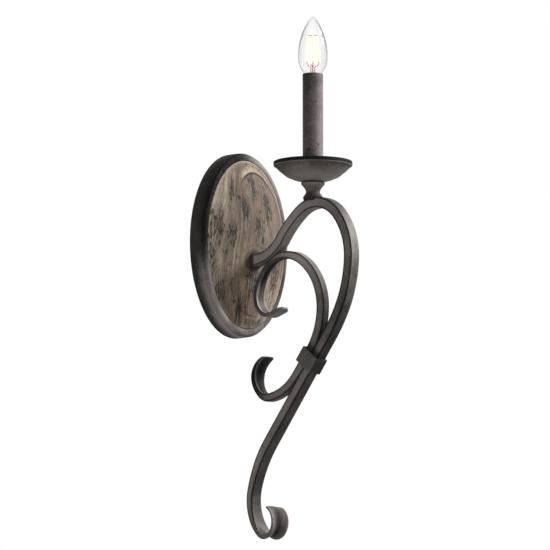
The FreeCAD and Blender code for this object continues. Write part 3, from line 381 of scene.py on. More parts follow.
def driftwood():
    """Weathered board: upright grain, grey wash, charred grain in broken patches, one growth ring."""
    m = Nodes("weathered_driftwood")
    m.place = swaying(m)
    straight = m.place
    where = m.axes(straight)
    m.place = gathered(m, where)

    boards = m.grain(40.0, 8.0, detail=3.0)
    streaks = m.grain(150.0, 20.0, detail=5.0, rough=0.62, distort=0.6)
    fibre = m.grain(620.0, 95.0, rough=0.7, distort=0.5)
    dashes = m.grain(880.0, 135.0, detail=3.0, rough=0.7)
    clumps = m.grain(140.0, 16.0, detail=5.0, rough=0.7, distort=0.4)
    tone = m.plus(m.times(boards, 0.45), m.times(streaks, 0.55))
    colour = m.ramp(m.spread(tone, 0.37, 0.64), WOOD_TONES)
    colour = m.mix(m.spread(fibre, 0.42, 0.64, 0.0, 0.5), colour, srgb(88, 76, 66))
    warm = m.noise(1.0, detail=2.0, at=m.stretched((34.0, 1.0, 13.0), turn=(0, 0.2, 0)))
    colour = m.mix(m.spread(warm, 0.5, 0.66, 0.0, 0.45), colour, srgb(150, 118, 88))

    # Ash, charred dashes, small holes and dark grains
    patches = char_patches(m, clumps)
    ash = m.spread(patches, 0.05, 1.0, kind="SMOOTHSTEP")
    colour = m.mix(m.times(ash, 0.58), colour, srgb(86, 82, 75))
    limit = m.spread(patches, 0.0, 1.0, 0.597, 0.445)
    burnt = m.minus(m.plus(m.times(dashes, 0.75), m.times(fibre, 0.25)), limit)
    char_and_foot_shadow = m.spread(burnt, 0.0, 0.055)
    holes = m.times(m.spread(m.cells(110.0, at=m.stretched((1.0, 0.0, 0.8))), 0.13, 0.08),
                    m.spread(m.noise(120.0, detail=1.0), 0.5, 0.53))
    char_and_foot_shadow = m.most(char_and_foot_shadow, holes)
    pepper = m.grain(1250.0, 300.0, detail=2.0, rough=0.7)
    char_and_foot_shadow = m.most(char_and_foot_shadow, m.spread(pepper, 0.58, 0.68, 0.0, 0.6))
    m.place = straight
    for knot in KNOTS:
        char_and_foot_shadow = m.most(char_and_foot_shadow, m.spread(m.oval(*knot), 1.0, 0.5))
    # Painted contact shadow in a ring round the foot flange, joined to the char
    foot_shadow_ring = m.spread(m.oval(0, FOOT_Z, FOOT_RADIUS, FOOT_RADIUS), 1.45, 1.05)
    char_and_foot_shadow = m.most(char_and_foot_shadow, m.times(foot_shadow_ring, 0.8))

    # Growth ring, and the board's paler and greyer sides
    line, crescent = growth_ring(m, where)
    colour = m.mix(m.times(crescent, 0.7), colour, srgb(200, 184, 164))
    colour = m.mix(m.spread(where["Z"], 0.07, 0.1, 0.0, 0.08), colour, srgb(178, 156, 136))
    colour = m.mix(m.spread(where["X"], -0.025, -0.062, 0.0, 0.35), colour, srgb(190, 176, 158))
    greyer = m.times(m.spread(where["X"], -0.01, 0.045), m.spread(where["Z"], -0.04, -0.012, 0.1, 0.8))
    colour = m.mix(greyer, colour, srgb(96, 86, 76))
    paler = m.times(m.spread(where["X"], 0.012, 0.03), m.spread(where["Z"], -0.02, -0.05, 0.0, 0.25))
    colour = m.mix(paler, colour, srgb(196, 180, 158))

    # Painted highlight on the rim, painted shade in the groove round it, then everything charred and the
    # painted shadow round the foot on top
    colour = m.mix(m.times(m.attribute("light"), 0.8), colour, srgb(206, 195, 178))
    colour = m.mix(m.times(m.attribute("dark"), 0.85), colour, srgb(40, 36, 34))
    colour = m.mix(m.times(char_and_foot_shadow, 0.9), colour, srgb(28, 27, 26))
    colour = m.mix(m.times(line, 0.85), colour, srgb(40, 35, 32))
    m.set(Base_Color=colour, Roughness=0.78, Specular_IOR_Level=0.2)
    height = m.plus(m.times(streaks, 0.6), m.times(fibre, 0.3))
    height = m.minus(height, m.times(char_and_foot_shadow, 0.4))
    height = m.minus(height, m.times(line, 0.8))
    m.set(Normal=m.bump(height, distance=0.0011, strength=0.9))
    return m.material


wood = driftwood()

# Bulb's glass, its glow and the plain metals and plastics

LOW_EDGE_TURN = 0.8  # how far the glass turns away where its dark edge is full, low down
HIGH_EDGE_TURN = 0.68  # and near the top
STEM_EDGE = srgb(176, 118, 84)


def clear_glass(name, painted_edge_shade, low_edge, high_edge):
    """Thin clear glass with painted shade where it turns away, by a ramp of (how far it turns, clearness),
    to an edge colour low down and another near the top."""
    m = Nodes(name)
    # Painted shade on the glass where it turns away from the eye
    facing = m.facing()
    tints = []
    for edge_turn, edge in ((LOW_EDGE_TURN, low_edge), (HIGH_EDGE_TURN, high_edge)):
        stops = [(turn, (clear, clear, clear, 1)) for turn, clear in painted_edge_shade] + [(edge_turn, edge)]
        tints.append(m.ramp(facing, stops))
    near_top = m.spread(m.axes(m.place)["Z"], 0.212, 0.24)
    speck = m.noise(260.0, detail=2.0)
    m.set(Base_Color=m.mix(near_top, *tints), Roughness=m.spread(speck, 0.3, 0.7, 0.0, 0.03))
    m.set(Transmission_Weight=1.0, IOR=1.12)
    return m.material


glass = clear_glass("clear_bulb_glass", [(0.0, 0.99), (0.13, 0.985), (0.26, 0.925), (0.6, 0.9)],
                    srgb(140, 140, 136), srgb(66, 68, 62))
stem_glass = clear_glass("stem_glass", [(0.0, 0.94), (0.35, 0.84), (0.5, 0.7)], STEM_EDGE, STEM_EDGE)


def glowing():
    """Warm light, paler along the middle of each rod."""
    m = Nodes("glowing_filament")
    bands = m.noise(900.0, detail=2.0)
    warm = m.ramp(m.spread(bands, 0.35, 0.65), [(0.0, (1.0, 0.64, 0.18, 1)), (1.0, (1.0, 0.76, 0.3, 1))])
    core = m.mix(m.spread(m.facing(), 0.1, 0.65), (1.0, 0.94, 0.6, 1), warm)
    m.set(Base_Color=warm, Emission_Color=core, Emission_Strength=0.95)
    return m.material


glow = glowing()


def plain_finish(name, low, high, metallic, rough):
    """A metal or plastic between two tones of screen values, with fine marks."""
    m = Nodes(name)
    marks = m.noise(600.0, detail=4.0, rough=0.6)
    tones = [(0.0, srgb(*low)), (1.0, srgb(*high))]
    m.set(Base_Color=m.ramp(m.spread(marks, 0.35, 0.65), tones), Metallic=metallic)
    m.set(Roughness=m.spread(marks, 0.3, 0.7, rough - 0.08, rough + 0.1))
    m.set(Normal=m.bump(marks, distance=0.0002, strength=0.4))
    return m.material


wire = plain_finish("coppery_support_wire", (172, 110, 76), (224, 164, 122), 0.5, 0.45)
phenolic = plain_finish("black_moulded_phenolic", (22, 21, 21), (38, 36, 35), 0.0, 0.45)

# Finishes of the hardware, by slot
finishes = {
    "zinc_steel": plain_finish("bright_zinc_steel", (150, 152, 156), (190, 192, 194), 0.9, 0.38),
    "green_steel": plain_finish("green_dyed_steel", (34, 92, 52), (52, 124, 74), 0.6, 0.4),
    "copper": plain_finish("bare_copper", (168, 98, 66), (204, 130, 92), 0.9, 0.35),
    "shell_metal": plain_finish("brass_screw_shell", (176, 150, 92), (206, 182, 120), 0.9, 0.34),
    "contact_metal": plain_finish("tinned_contact", (170, 170, 172), (206, 206, 206), 0.9, 0.3),
    "base_metal": plain_finish("nickel_bulb_base", (176, 174, 168), (208, 206, 200), 0.95, 0.28),
    "black_lead": plain_finish("black_lead_cover", (20, 20, 21), (34, 34, 35), 0.0, 0.5),
    "white_lead": plain_finish("white_lead_cover", (206, 204, 198), (228, 226, 220), 0.0, 0.5),
    "connector_orange": plain_finish("orange_moulded_connector", (204, 96, 30), (224, 116, 44), 0.0, 0.42),
    "socket_black": phenolic,
    "insulator_black": phenolic,
}

# Scroll paths, in the plane X = 0. A bend is (radius, turn in degrees); a straight run is (length, 0).

ARM_BENDS = [(53.0, -53.5), (131.5, 18.5), (45.0, 82.5), (77.0, 45.5), (137.5, 26.0), (229.0, 9.3),
             (148.0, 0), (145.5, -23.5), (55.0, -62.5), (14.0, -96.0), (21.0, -46.0), (19.0, -48.5)]
UPPER_BENDS = [(8.0, 0), (85.0, -33.2), (68.5, -61.0), (52.0, -36.0), (38.0, -31.5), (51.5, -50.2),
               (25.0, -48.5), (19.0, -65.6), (18.4, 0)]
LOWER_BENDS = [(7.2, 0), (245.0, 6.0), (63.5, 41.5), (14.5, 43.5), (27.6, 42.2), (23.4, 52.0),
               (37.0, 22.5)]


def walk(y, z, heading, bends, step):
    """Points (y, z, heading in radians) along a path, about one step apart."""
    out = [(y, z, math.radians(heading))]
    angle = math.radians(heading)
    for radius, turn in bends:
        span = abs(math.radians(turn)) * radius if turn else radius
        count = max(2, math.ceil(span / step))
        for i in range(1, count + 1):
            if turn:
                new = angle + math.radians(turn) * i / count
                side = math.copysign(radius, turn)
                out.append((y + side * (math.sin(new) - math.sin(angle)),
                            z - side * (math.cos(new) - math.cos(angle)), new))
            else:
                run = span * i / count
                out.append((y + run * math.cos(angle), z + run * math.sin(angle), angle))
        y, z, angle = out[-1]
    return np.array(out)


STEP = 1.1
BENDS_BEFORE_STRAIGHT = 6
arm_path = walk(-FOOT_DEPTH, FOOT_Z, 180.0, ARM_BENDS, STEP)
before_straight = walk(-FOOT_DEPTH, FOOT_Z, 180.0, ARM_BENDS[:BENDS_BEFORE_STRAIGHT], STEP)[-1]
heading = before_straight[2]
away = np.array([-math.sin(heading), math.cos(heading)])
along = np.array([math.cos(heading), math.sin(heading)])
bar_middle = before_straight[:2] + along * COLLAR_RUN
side_middle = bar_middle + away * (ARM_THICKNESS + SIDE_THICKNESS) / 2
upper = walk(*side_middle, math.degrees(heading) - 180, UPPER_BENDS, STEP)
lower = walk(*side_middle, math.degrees(heading), LOWER_BENDS, STEP)
upper[:, 2] += math.pi
side_path = np.vstack([upper[::-1], lower[1:]])

# Rows: share of the length, of the thickness, of the width, and the dish of the two wide faces
ARM_SHARES = [(0, 1.19, 1, 0, 0), (0.02, 1.03, 1, 0, 0), (0.47, 1.03, 1, 0, 0), (0.51, 1, 1, 0, 0),
              (0.58, 1, 1, 0, 0), (0.728, 0.95, 1.1, 0, 0), (0.767, 0.897, 1.11, 0, 0),
              (0.793, 0.825, 1.11, 0, 0), (0.815, 0.778, 1.126, 0.1, 0), (0.845, 0.714, 1.207, 0.3, 0),
              (0.872, 0.675, 1.26, 0.8, -0.1), (0.894, 0.54, 1.48, 2.2, -0.6),
              (0.914, 0.397, 1.7, 3.8, -2.0), (0.945, 0.317, 1.94, 4.0, -3.0),
              (0.97, 0.254, 2.04, 3.0, -2.3), (1, 0.17, 2.06, 0.6, -0.4)]
SIDE_SHARES = [(0, 0.41, 1.5, 0.8, -0.4), (0.05, 0.434, 1.6, 1.4, -0.6),
               (0.14, 0.434, 1.5, 1.5, -0.5), (0.218, 0.42, 1.25, 1.2, -0.3),
               (0.24, 0.47, 1.16, 0.9, -0.1), (0.265, 0.545, 1.12, 0.6, 0),
               (0.289, 0.66, 1.1, 0.3, 0), (0.322, 0.78, 1.07, 0, 0), (0.345, 0.877, 1.03, 0, 0),
               (0.4, 0.95, 1, 0, 0), (0.46, 1, 1, 0, 0), (0.7, 1, 1, 0, 0), (0.73, 0.89, 1, 0, 0),
               (0.803, 0.86, 1.02, 0, 0), (0.847, 0.8, 1.08, 0.2, 0), (0.861, 0.68, 1.12, 0.7, 0),
               (0.879, 0.56, 1.35, 1.8, -0.4), (0.932, 0.54, 1.85, 3.0, -1.6),
               (0.978, 0.34, 2.1, 2.4, -1.6), (1, 0.14, 2.2, 0.8, -0.4)]

# Rows: share of the length, and the painted tone on the two sides, the +v face and the -v face, from -1
# (painted shade, also the painted shadow by the collar) to 1 (painted highlight) or more
ARM_TONES = [(0, 1.1, 0, 0.1), (0.1, 1.5, 0.25, 0.2), (0.187, 0.95, 0.2, 0.1),
             (0.235, 0.6, 0.1, -0.35), (0.27, 0.3, 0, 0), (0.3, 0.2, 0, 0.3), (0.33, 0.12, 0, 0.2),
             (0.37, 0.1, 0, -0.05), (0.42, -0.15, 0, -0.5), (0.455, -0.3, 0, -0.7),
             (0.5, 0.35, 0, -0.72), (0.518, 0.3, 0, -0.75), (0.527, -0.7, -0.5, -0.9),
             (0.545, -0.8, 0, -0.9), (0.56, 0.5, 0, -0.65), (0.6, 0.55, 0, -0.65),
             (0.75, 0.75, 0, -0.62), (0.83, 0.75, 0, -0.72), (0.87, 0.55, -0.3, -0.3),
             (0.9, 0.35, -0.4, -0.05), (0.94, 0.1, -0.45, 0.05), (1, 0, -0.2, 0)]
SIDE_TONES = [(0, 0.3, 0.1, 0), (0.07, 0.1, 0.1, 0), (0.11, -0.1, 0.5, 0), (0.15, -0.4, -0.1, -0.2),
              (0.19, -0.3, -0.8, -0.2), (0.25, 0, -0.9, 0), (0.29, 1, -0.75, 0.1),
              (0.33, 1.6, -0.3, 0.2), (0.37, 1.6, 0, 0.1), (0.42, 0.9, 0, -0.05), (0.5, 0.25, 0, -0.6),
              (0.58, 0.15, 0, -1), (0.62, 0.15, 0, -0.95), (0.633, -0.7, -0.6, -1),
              (0.655, -0.7, 0, -0.9), (0.68, 0.4, 0, -0.7), (0.72, 0.65, 0, -0.4), (0.84, 0.45, 0, -0.2),
              (0.88, -0.6, -0.4, 0), (0.94, -1, -0.75, 0), (1, -0.7, -0.65, 0)]

SHARE_BLUR = 2.5  # the shares are rounded off over this
EDGE_INSETS = (0.5, 1.2, 2.2, 3.4)
DARK_RUN = 2.1  # the painted shade along a side's edge fades over this
BRIGHT_RUN = 1.1  # and the painted highlight along a wide face's edge over this
BULGE_RUN = 9.0
BULGE_SKEW = 0.25
END_NARROWING = 0.12


def smooth_step(t):
    t = min(max(t, 0), 1)
    return t * t * (3 - 2 * t)


def quarter_section(a, b, radius, rim, side_dark):
    """One corner of a bar as points (x, v, dark, light), from its side to near its wide face's middle."""
    out = []
    # dark is painted shade along the side near the arris, light a painted highlight on the arris and the
    # wide face's edge
    for inset in reversed(EDGE_INSETS):
        step = min(inset, 0.9 * (b - radius) * inset / EDGE_INSETS[-1])
        out.append((a, b - radius - step, side_dark * max(0, 1 - step / DARK_RUN), 0))
    for k in range(5):
        t = math.radians(22.5 * k)
        light = 0.7 * max(0, math.sin(t) - 0.4)
        out.append((a - radius + radius * math.cos(t), b - radius + radius * math.sin(t),
                    side_dark * math.cos(t) ** 0.5 * (1 - light), light))
    inner = a - radius
    for inset in (0.45, 0.9, rim, rim + 0.5):
        step = min(inset, 0.9 * inner * inset / (rim + 0.5))
        out.append((inner - step, b, 0, 0.6 * max(0, 1 - step / BRIGHT_RUN)))
    last = out[-1][0]
    for k in (1, 2, 3):
        out.append((last * (1 - k / 3.5), b, 0, 0))
    return out


def section(high, wide, radius, dish, tones):
    """Points (x, v, dark, light) round a bar; dish sinks the two wide faces: (the +v one, the -v one).
    tones are the painted tones of the sides, the +v face and the -v face."""
    radius = min(radius, 0.4 * high, 0.4 * wide)
    a, b = wide / 2, high / 2
    rim = min(1.6 + 2.6 * max(dish[0] - 2.8, 0), 0.2 * wide)
    quarter = quarter_section(a, b, radius, rim, smooth_step((high - 3.5) / 5))
    channel = max(a - rim, 0.1)
    out = []
    for side_x, side_v, sink, order in ((1, 1, dish[0], 1), (-1, 1, dish[0], -1),
                                        (-1, -1, dish[1], 1), (1, -1, dish[1], -1)):
        face = tones[1 if side_v > 0 else 2]
        for x, v, dark, light in quarter[::order]:
            # The painted highlight on the edge fades where the face is painted dark
            light *= max(1 + 2 * min(face, 0), 0)
            flat = min(max((v - b + radius) / radius, 0), 1)
            tone = tones[0] * (1 - flat) + face * flat
            cupped = min(max(sink, 0) / 1.6, 1) * flat
            # Painted shade down the middle of a dished channel and painted highlight on its rims
            tone += cupped * (-0.6 * max(0, 1 - (1.4 * x / channel) ** 2) if x < channel else 0.6)
            if flat == 1 and x < channel:
                v -= sink * (1 - (x / channel) ** 2) ** 0.8
            light = min(light + max(tone, 0) * (1 - 0.9 * dark), 1.6)
            out.append((side_x * x, side_v * v, min(dark + max(-tone, 0), 1), light))
    return out


def smooth_laws(fine, shares):
    """What each column of shares says at every fine place, rounded off over a few millimetres."""
    rows = np.array(shares)
    reach = 40
    kernel = np.exp(-0.5 * (np.arange(-reach, reach + 1) * (fine[1] / SHARE_BLUR)) ** 2)
    kernel /= kernel.sum()
    laws = []
    for column in range(1, rows.shape[1]):
        law = np.interp(fine / fine[-1], rows[:, 0], rows[:, column])
        laws.append(np.convolve(np.pad(law, reach, mode="edge"), kernel, mode="valid"))
    return laws


def row_places(lengths, tips):
    """Where the bar's sections stand: at each path point, and closer together over the rounded tips."""
    total = lengths[-1]
    extra = []
    for end, tip in ((0, tips[0]), (total, tips[1])):
        if tip:
            steps = tip * (1 - np.cos(np.linspace(0, math.pi / 2, 12)))
            extra.append(np.abs(end - steps))
    places = np.unique(np.round(np.concatenate([lengths, *extra]), 4))
    return places[np.concatenate([[True], np.diff(places) > 0.03])]


def bulged(row, points, wide, near_end, reach, forward):
    """A row near the bar's end, stood out in an arc that leans to one side and narrowed on the other."""
    lean = (2 * points[:, 0] / wide + BULGE_SKEW) / (1 + BULGE_SKEW)
    stand = reach * near_end ** 2 * (1 - lean ** 2)
    row = row + stand[:, None] * forward
    row[:, 0] *= np.where(points[:, 0] > 0, 1 - END_NARROWING * near_end ** 2, 1)
    return row


def swept_bar(name, path, shares, tones, thickness, width, radius, tips, bulge=0.0):
    """A forged bar along a path, in rows of sections. tips: rounding length at each end (0 for none).
    bulge: how far the last end stands out in an arc."""
    lengths = np.concatenate([[0], np.cumsum(np.hypot(*np.diff(path[:, :2], axis=0).T))])
    total = lengths[-1]
    fine = np.linspace(0, total, 1500)
    laws = smooth_laws(fine, shares)
    tones = np.array(tones)
    angles = np.unwrap(path[:, 2])
    out, shade = [], []
    for place in row_places(lengths, tips):
        y = np.interp(place, lengths, path[:, 0])
        z = np.interp(place, lengths, path[:, 1])
        angle = np.interp(place, lengths, angles)
        high, wide, dish_plus, dish_minus = (np.interp(place, fine, law) for law in laws)
        high *= thickness
        wide *= width
        for tip, left in ((tips[0], place), (tips[1], total - place)):
            if tip and left < tip:
                round_off = math.sqrt(max(1 - (1 - left / tip) ** 2, 0))
                wide *= 0.25 + 0.75 * round_off
                high *= 0.35 + 0.65 * round_off
                dish_plus *= round_off
                dish_minus *= round_off
        faces = [np.interp(place / total, tones[:, 0], tones[:, column]) for column in (1, 2, 3)]
        points = np.array(section(high, wide, radius, (dish_plus, dish_minus), faces))
        across = np.array([0, -math.sin(angle), math.cos(angle)])
        row = np.array([0, y, z]) + points[:, :1] * np.array([1, 0, 0]) + points[:, 1:2] * across
        near_end = max(1 - (total - place) / BULGE_RUN, 0)
        if bulge and near_end:
            forward = np.array([0, math.cos(angle), math.sin(angle)])
            row = bulged(row, points, wide, near_end, bulge, forward)
        out.append(row)
        shade.append(points[:, 2:])
    return grid_mesh(name, out, caps=(True, True), shade=np.array(shade))


arm_mesh = swept_bar("scroll_bar", arm_path, ARM_SHARES, ARM_TONES, ARM_THICKNESS, ARM_WIDTH,
                     radius=1.1, tips=(0, 1.2), bulge=3.2)
show("scroll_bar", arm_mesh, "fixture", metal, "scroll_arm")
side_mesh = swept_bar("side_bar", side_path, SIDE_SHARES, SIDE_TONES, SIDE_THICKNESS, SIDE_WIDTH,
                      radius=0.9, tips=(6.5, 3.0))
show("side_bar", side_mesh, "fixture", metal, "side_scroll")

# Collar: a band folded round the two bars

collar_middle = bar_middle + away * SIDE_THICKNESS / 2


def band_outline(wide, high, radius):
    """Points (x, v) of a rounded rectangle."""
    out = []
    for quarter, (sx, sv) in enumerate([(1, 1), (-1, 1), (-1, -1), (1, -1)]):
        for k in range(7):
            t = math.radians(90 * quarter + 15 * k)
            out.append((sx * (wide / 2 - radius) + radius * math.cos(t),
                        sv * (high / 2 - radius) + radius * math.sin(t)))
    return np.array(out)


def collar_rows():
    """The collar's outlines along the bars, with painted shade on its front face, corners and ends,
    strongest at the upper end, and painted highlights on its sides and lower end.
    """
    both_bars = ARM_THICKNESS + SIDE_THICKNESS
    wide = ARM_WIDTH + COLLAR_SLACK + 2 * COLLAR_WALL
    high = both_bars + COLLAR_SLACK + 2 * COLLAR_WALL
    inner_wide = ARM_WIDTH + COLLAR_GAP
    inner_high = both_bars + COLLAR_GAP
    half = COLLAR_LENGTH / 2
    rows = [(-half + 1.2, inner_wide, inner_high, 0.4), (-half, inner_wide, inner_high, 0.4),
            (-half, wide - 1.8, high - 1.8, 0.8), (-half + 0.25, wide - 0.6, high - 0.6, 1.2),
            (-half + 0.9, wide, high, 1.5), (half - 0.9, wide, high, 1.5),
            (half - 0.25, wide - 0.6, high - 0.6, 1.2), (half, wide - 1.8, high - 1.8, 0.8),
            (half, inner_wide, inner_high, 0.4), (half - 1.2, inner_wide, inner_high, 0.4)]
    out, shade = [], []
    for run, w, h, radius in rows:
        points = band_outline(w, h, radius)
        base = np.array([0, *(collar_middle + along * run)])
        out.append(base + points[:, :1] * np.array([1, 0, 0]) + points[:, 1:] * np.array([0, *away]))
        # Painted shade on the front, corners and ends, painted highlight on the sides and the lower end
        front = points[:, 1] < radius - h / 2
        corner = np.abs(np.abs(points[:, 0]) - w / 2 + radius / 2) < radius
        corner &= np.abs(points[:, 1]) > h / 2 - 1.3 * radius
        dark = np.where(front, 0.85, np.where(corner, 0.5, 0.05))
        end = max((abs(run) - half + 0.9) / 0.9, 0)
        dark = np.maximum(dark, (0.9 if run < 0 else 0.25) * end)
        light = np.where(front, 0, 0.3) + (0.4 * end if run > 0 else 0.0)
        shade.append(np.stack([dark, light], axis=1))
    return out, np.array(shade)


band_rows, band_shade = collar_rows()
collar_mesh = grid_mesh("collar_band", band_rows, close_rows=True, shade=band_shade)
show("collar_band", collar_mesh, "fixture", metal, "collar")

# Oval plate, its wooden inlay and the foot flange

OVAL_POINTS = 256
oval_angles = np.linspace(0, 2 * math.pi, OVAL_POINTS, endpoint=False)


def oval_row(inset, depth, share=1.0):
    """One outline of the plate or the wood, by its inset from the plate's edge and its depth out from the
    wall. share draws it in to the middle. The band is wider at its top and foot than at its sides."""
    lower = 1.8 * min(max((inset - PAN_WALL) / (WOOD_INSET - PAN_WALL), 0), 1)
    return np.stack([share * (PLATE[0] - inset) * np.cos(oval_angles), np.full(OVAL_POINTS, -depth),
                     share * (PLATE[1] - inset - lower) * np.sin(oval_angles)], axis=1)


# The plate's outline as (inset, depth), from the floor's back round the outside to the wood's seat
pan_back = [(PAN_WALL, 15.0), (PAN_WALL, 6.0), (PAN_WALL, 0.2), (1.9, 0), (1.0, 0), (0.3, 0.3)]
pan_side = smooth_curve([(0.05, 1.0), (0.05, 5.0), (0.1, 11.0), (0.35, 15.5), (0.5, 17.6)], 3)
pan_bead = smooth_curve([(0.5, 17.6), (0.42, 18.0), (0.5, 18.5), (0.8, 18.95), (1.2, 19.15), (1.6, 19.1),
                         (1.85, 19.0), (2.05, 19.2)], 3)
pan_band = smooth_curve([(2.1, 20.4), (2.15, 21.4), (2.45, 22.4), (3.2, 23.1), (4.4, 23.4), (6.0, 23.4),
                         (7.2, 23.1), (7.8, 22.6)], 4)
pan_profile = pan_back + pan_side + pan_bead + pan_band + [(7.85, 22.1), (7.85, 16.5)]

# Rows: depth, the painted shade tone and the painted highlight tone there
PAN_TONES = [(0, -0.6, -0.85), (4, -0.7, -0.85), (8, -0.76, -0.6), (12, -0.84, 0), (15, -0.95, 0.65),
             (17.6, -1, 1), (18.9, -1, 0.95), (19.3, -1, 0.8), (19.8, -1, 0.9), (21, -1, 1),
             (23.7, -1, 0.9)]

# How far each place round the oval goes from the painted shade to the painted highlight tone: (turn in
# degrees, share)
SIDE_LIT_SHARES = [(0, 0.3), (60, 0), (170, 0.05), (185, 0.12), (200, 0.7), (215, 1), (300, 1),
                   (340, 0.5), (360, 0.3)]
FRONT_LIT_SHARES = [(0, 0.5), (32, 0.65), (48, 0.85), (62, 0.92), (72, 0.75), (80, 0.58), (88, 0.3),
                    (96, 0.06), (104, 0), (180, 0.02), (188, 0.15), (201, 0.7), (215, 1), (240, 1),
                    (262, 0.7), (297, 0.42), (330, 0.25), (360, 0.5)]


def pan_shade():
    """Painted shade over the top and sides, painted highlight at the oval's foot and on the right of the
    front band.
    """
    depths, dark_tones, light_tones = np.array(PAN_TONES).T
    turns = np.degrees(oval_angles)
    side_lit = np.interp(turns, *np.array(SIDE_LIT_SHARES).T)
    front_lit = np.interp(turns, *np.array(FRONT_LIT_SHARES).T)
    out = []
    for inset, depth in pan_profile:
        painted_shade_tone = np.interp(depth, depths, dark_tones)
        painted_highlight_tone = np.interp(depth, depths, light_tones)
        front = min(max((depth - 18.0) / 1.5, 0), 1)
        tone = painted_shade_tone + (painted_highlight_tone - painted_shade_tone) * (side_lit + (front_lit - side_lit) * front)
        out.append(np.stack([np.maximum(-tone, 0), np.maximum(tone, 0)], axis=1))
    return np.array(out)


pan_mesh = grid_mesh("oval_pan", [oval_row(*place) for place in pan_profile], caps=(True, True),
                     shade=pan_shade())
show("oval_pan", pan_mesh, "fixture", pan_metal, "wall_pan")


def wood_rows():
    """The wood's edge, its rounded rim and its dome, from the seat to the middle."""
    rows = [oval_row(WOOD_INSET, WOOD_BACK), oval_row(WOOD_INSET, 22.2), oval_row(8.15, 22.7),
            oval_row(8.6, 23.2)]
    dome_inset = 9.2
    dome_depth = 23.6
    for share in 1 - np.linspace(0, 1, 90)[:-1] ** 1.1:
        rise = (CREST_DEPTH - dome_depth) * (1 - share ** 2)
        rows.append(oval_row(dome_inset, dome_depth + rise, share))
    return rows


def facing_share(turn):
    """How far each place round the oval looks towards a turn in degrees, from 0 to 1."""
    return np.clip(np.cos(oval_angles - math.radians(turn)), 0, 1)


wood_outlines = wood_rows()
wood_shade = np.zeros((len(wood_outlines), OVAL_POINTS, 2))
RIM_HIGHLIGHT = np.array([0.5, 1.0, 0.6, 0.35, 0.2, 0.1])  # row by row over the rim, from the third on
# Painted highlight on the rim, strongest where it faces right and left, and painted shade on the wood's
# edge inside the band
rim_highlight_share = np.maximum(0.12 + 0.88 * facing_share(25), 0.8 * facing_share(165))
wood_shade[2:8, :, 1] = RIM_HIGHLIGHT[:, None] * rim_highlight_share
wood_shade[:2, :, 0] = 1
wood_mesh = grid_mesh("driftwood_oval", wood_outlines, caps=(True, True), shade=wood_shade)
show("driftwood_oval", wood_mesh, "fixture", wood, "wood_inlay")

flange_profile = [(5.2, 35.0), (10.2, 35.0), (FOOT_RADIUS, 35.4), (FOOT_RADIUS, 39.6), (10.35, 40.3),
                  (10.0, 40.8), (9.4, FOOT_DEPTH), (5.2, FOOT_DEPTH)]
# Painted shade over the foot ring, as (depth, tone)
FLANGE_TONES = [(35, -0.9), (41, -0.7)]
flange_mesh = lathe("foot_ring", flange_profile, centre=(0, 0, FOOT_Z), outwards=True, tones=FLANGE_TONES)
show("foot_ring", flange_mesh, "fixture", metal, "foot_flange")

# Turned pieces on the candle's axis. Profiles are (radius, height); tones are (height, tone) of painted
# shade (below 0) and painted light (above 0).

NECK = [(10.9, 42.0), (11.4, 44.0), (11.6, 46.0), (11.1, 47.4), (9.7, 49.2), (8.6, 51.2), (8.3, 52.6),
        (8.6, 54.2), (9.7, 56.5), (11.6, 58.9), (13.1, 60.5), (13.85, 61.5)]
neck_profile = smooth_curve(NECK, 4) + [(14.0, 61.9), (14.0, 62.8), (13.8, 63.3), (13.3, 63.5),
                                        (11.6, 63.5), (11.6, 64.7), (5.1, 64.7), (5.1, 42.0)]
# Painted shade low on the neck by the arm and under the bowl, painted highlight on its top flange
NECK_TONES = [(43, -0.85), (47, -0.5), (50, -0.3), (54, -0.15), (60, 0.45), (61.6, 0.8), (62.8, 0.4),
              (63.4, -0.6), (64.7, -0.9)]
neck_mesh = lathe("turned_neck", neck_profile, tones=NECK_TONES)
show("turned_neck", neck_mesh, "fixture", cup_metal, "neck")

BOWL = [(14.5, 64.7), (17.5, 65.8), (20.8, 66.7), (23.8, 67.7), (26.4, 68.9), (29.5, 70.1), (32.6, 72.0),
        (36.0, 74.9), (39.4, 77.6), (42.6, 80.9), (44.7, 82.9)]
CUP_RIM = [(44.95, 83.15), (45.9, 83.25), (46.3, 83.6), (46.4, 84.2), (46.4, 87.7), (46.2, 88.2),
           (45.8, 88.4), (44.9, 88.4), (44.5, 88.1), (44.3, 87.5)]
CUP_WALL = (1.6, 1.7)  # from the bowl's outside, inwards and upwards
bowl = smooth_curve(BOWL, 4)
inside = [(r - CUP_WALL[0], z + CUP_WALL[1]) for r, z in bowl[::-1]]
cup_profile = [(5.3, 64.7)] + bowl + CUP_RIM + inside + [(5.3, 66.5)]
# Painted light on the bowl's underside and a painted highlight on the lip under the rim, painted shade on
# the rim band
CUP_TONES = [(64.7, 0.4), (66, 0.8), (70, 0.75), (74, 0.4), (77, 0.12), (80, -0.15), (82.6, -0.35),
             (83.0, -0.5), (83.2, 0.4), (83.7, 0.5), (84.2, -0.95), (88.0, -1), (88.5, -0.8)]
cup_mesh = lathe("drip_bowl", cup_profile, segments=192, tones=CUP_TONES)
show("drip_bowl", cup_mesh, "fixture", cup_metal, "drip_cup")

SLEEVE_OUTER = 12.1
SLEEVE_INNER = 10.9
sleeve_profile = [(SLEEVE_INNER, 66.8), (SLEEVE_OUTER, 66.8)]
sleeve_profile += [(SLEEVE_OUTER, height) for height in np.linspace(70, 192.0, 24)]
sleeve_profile += [(12.05, 192.4), (11.8, 192.75), (11.4, 192.8), (SLEEVE_INNER, 192.6)]
sleeve_profile += [(SLEEVE_INNER, height) for height in np.linspace(190, 70, 12)]
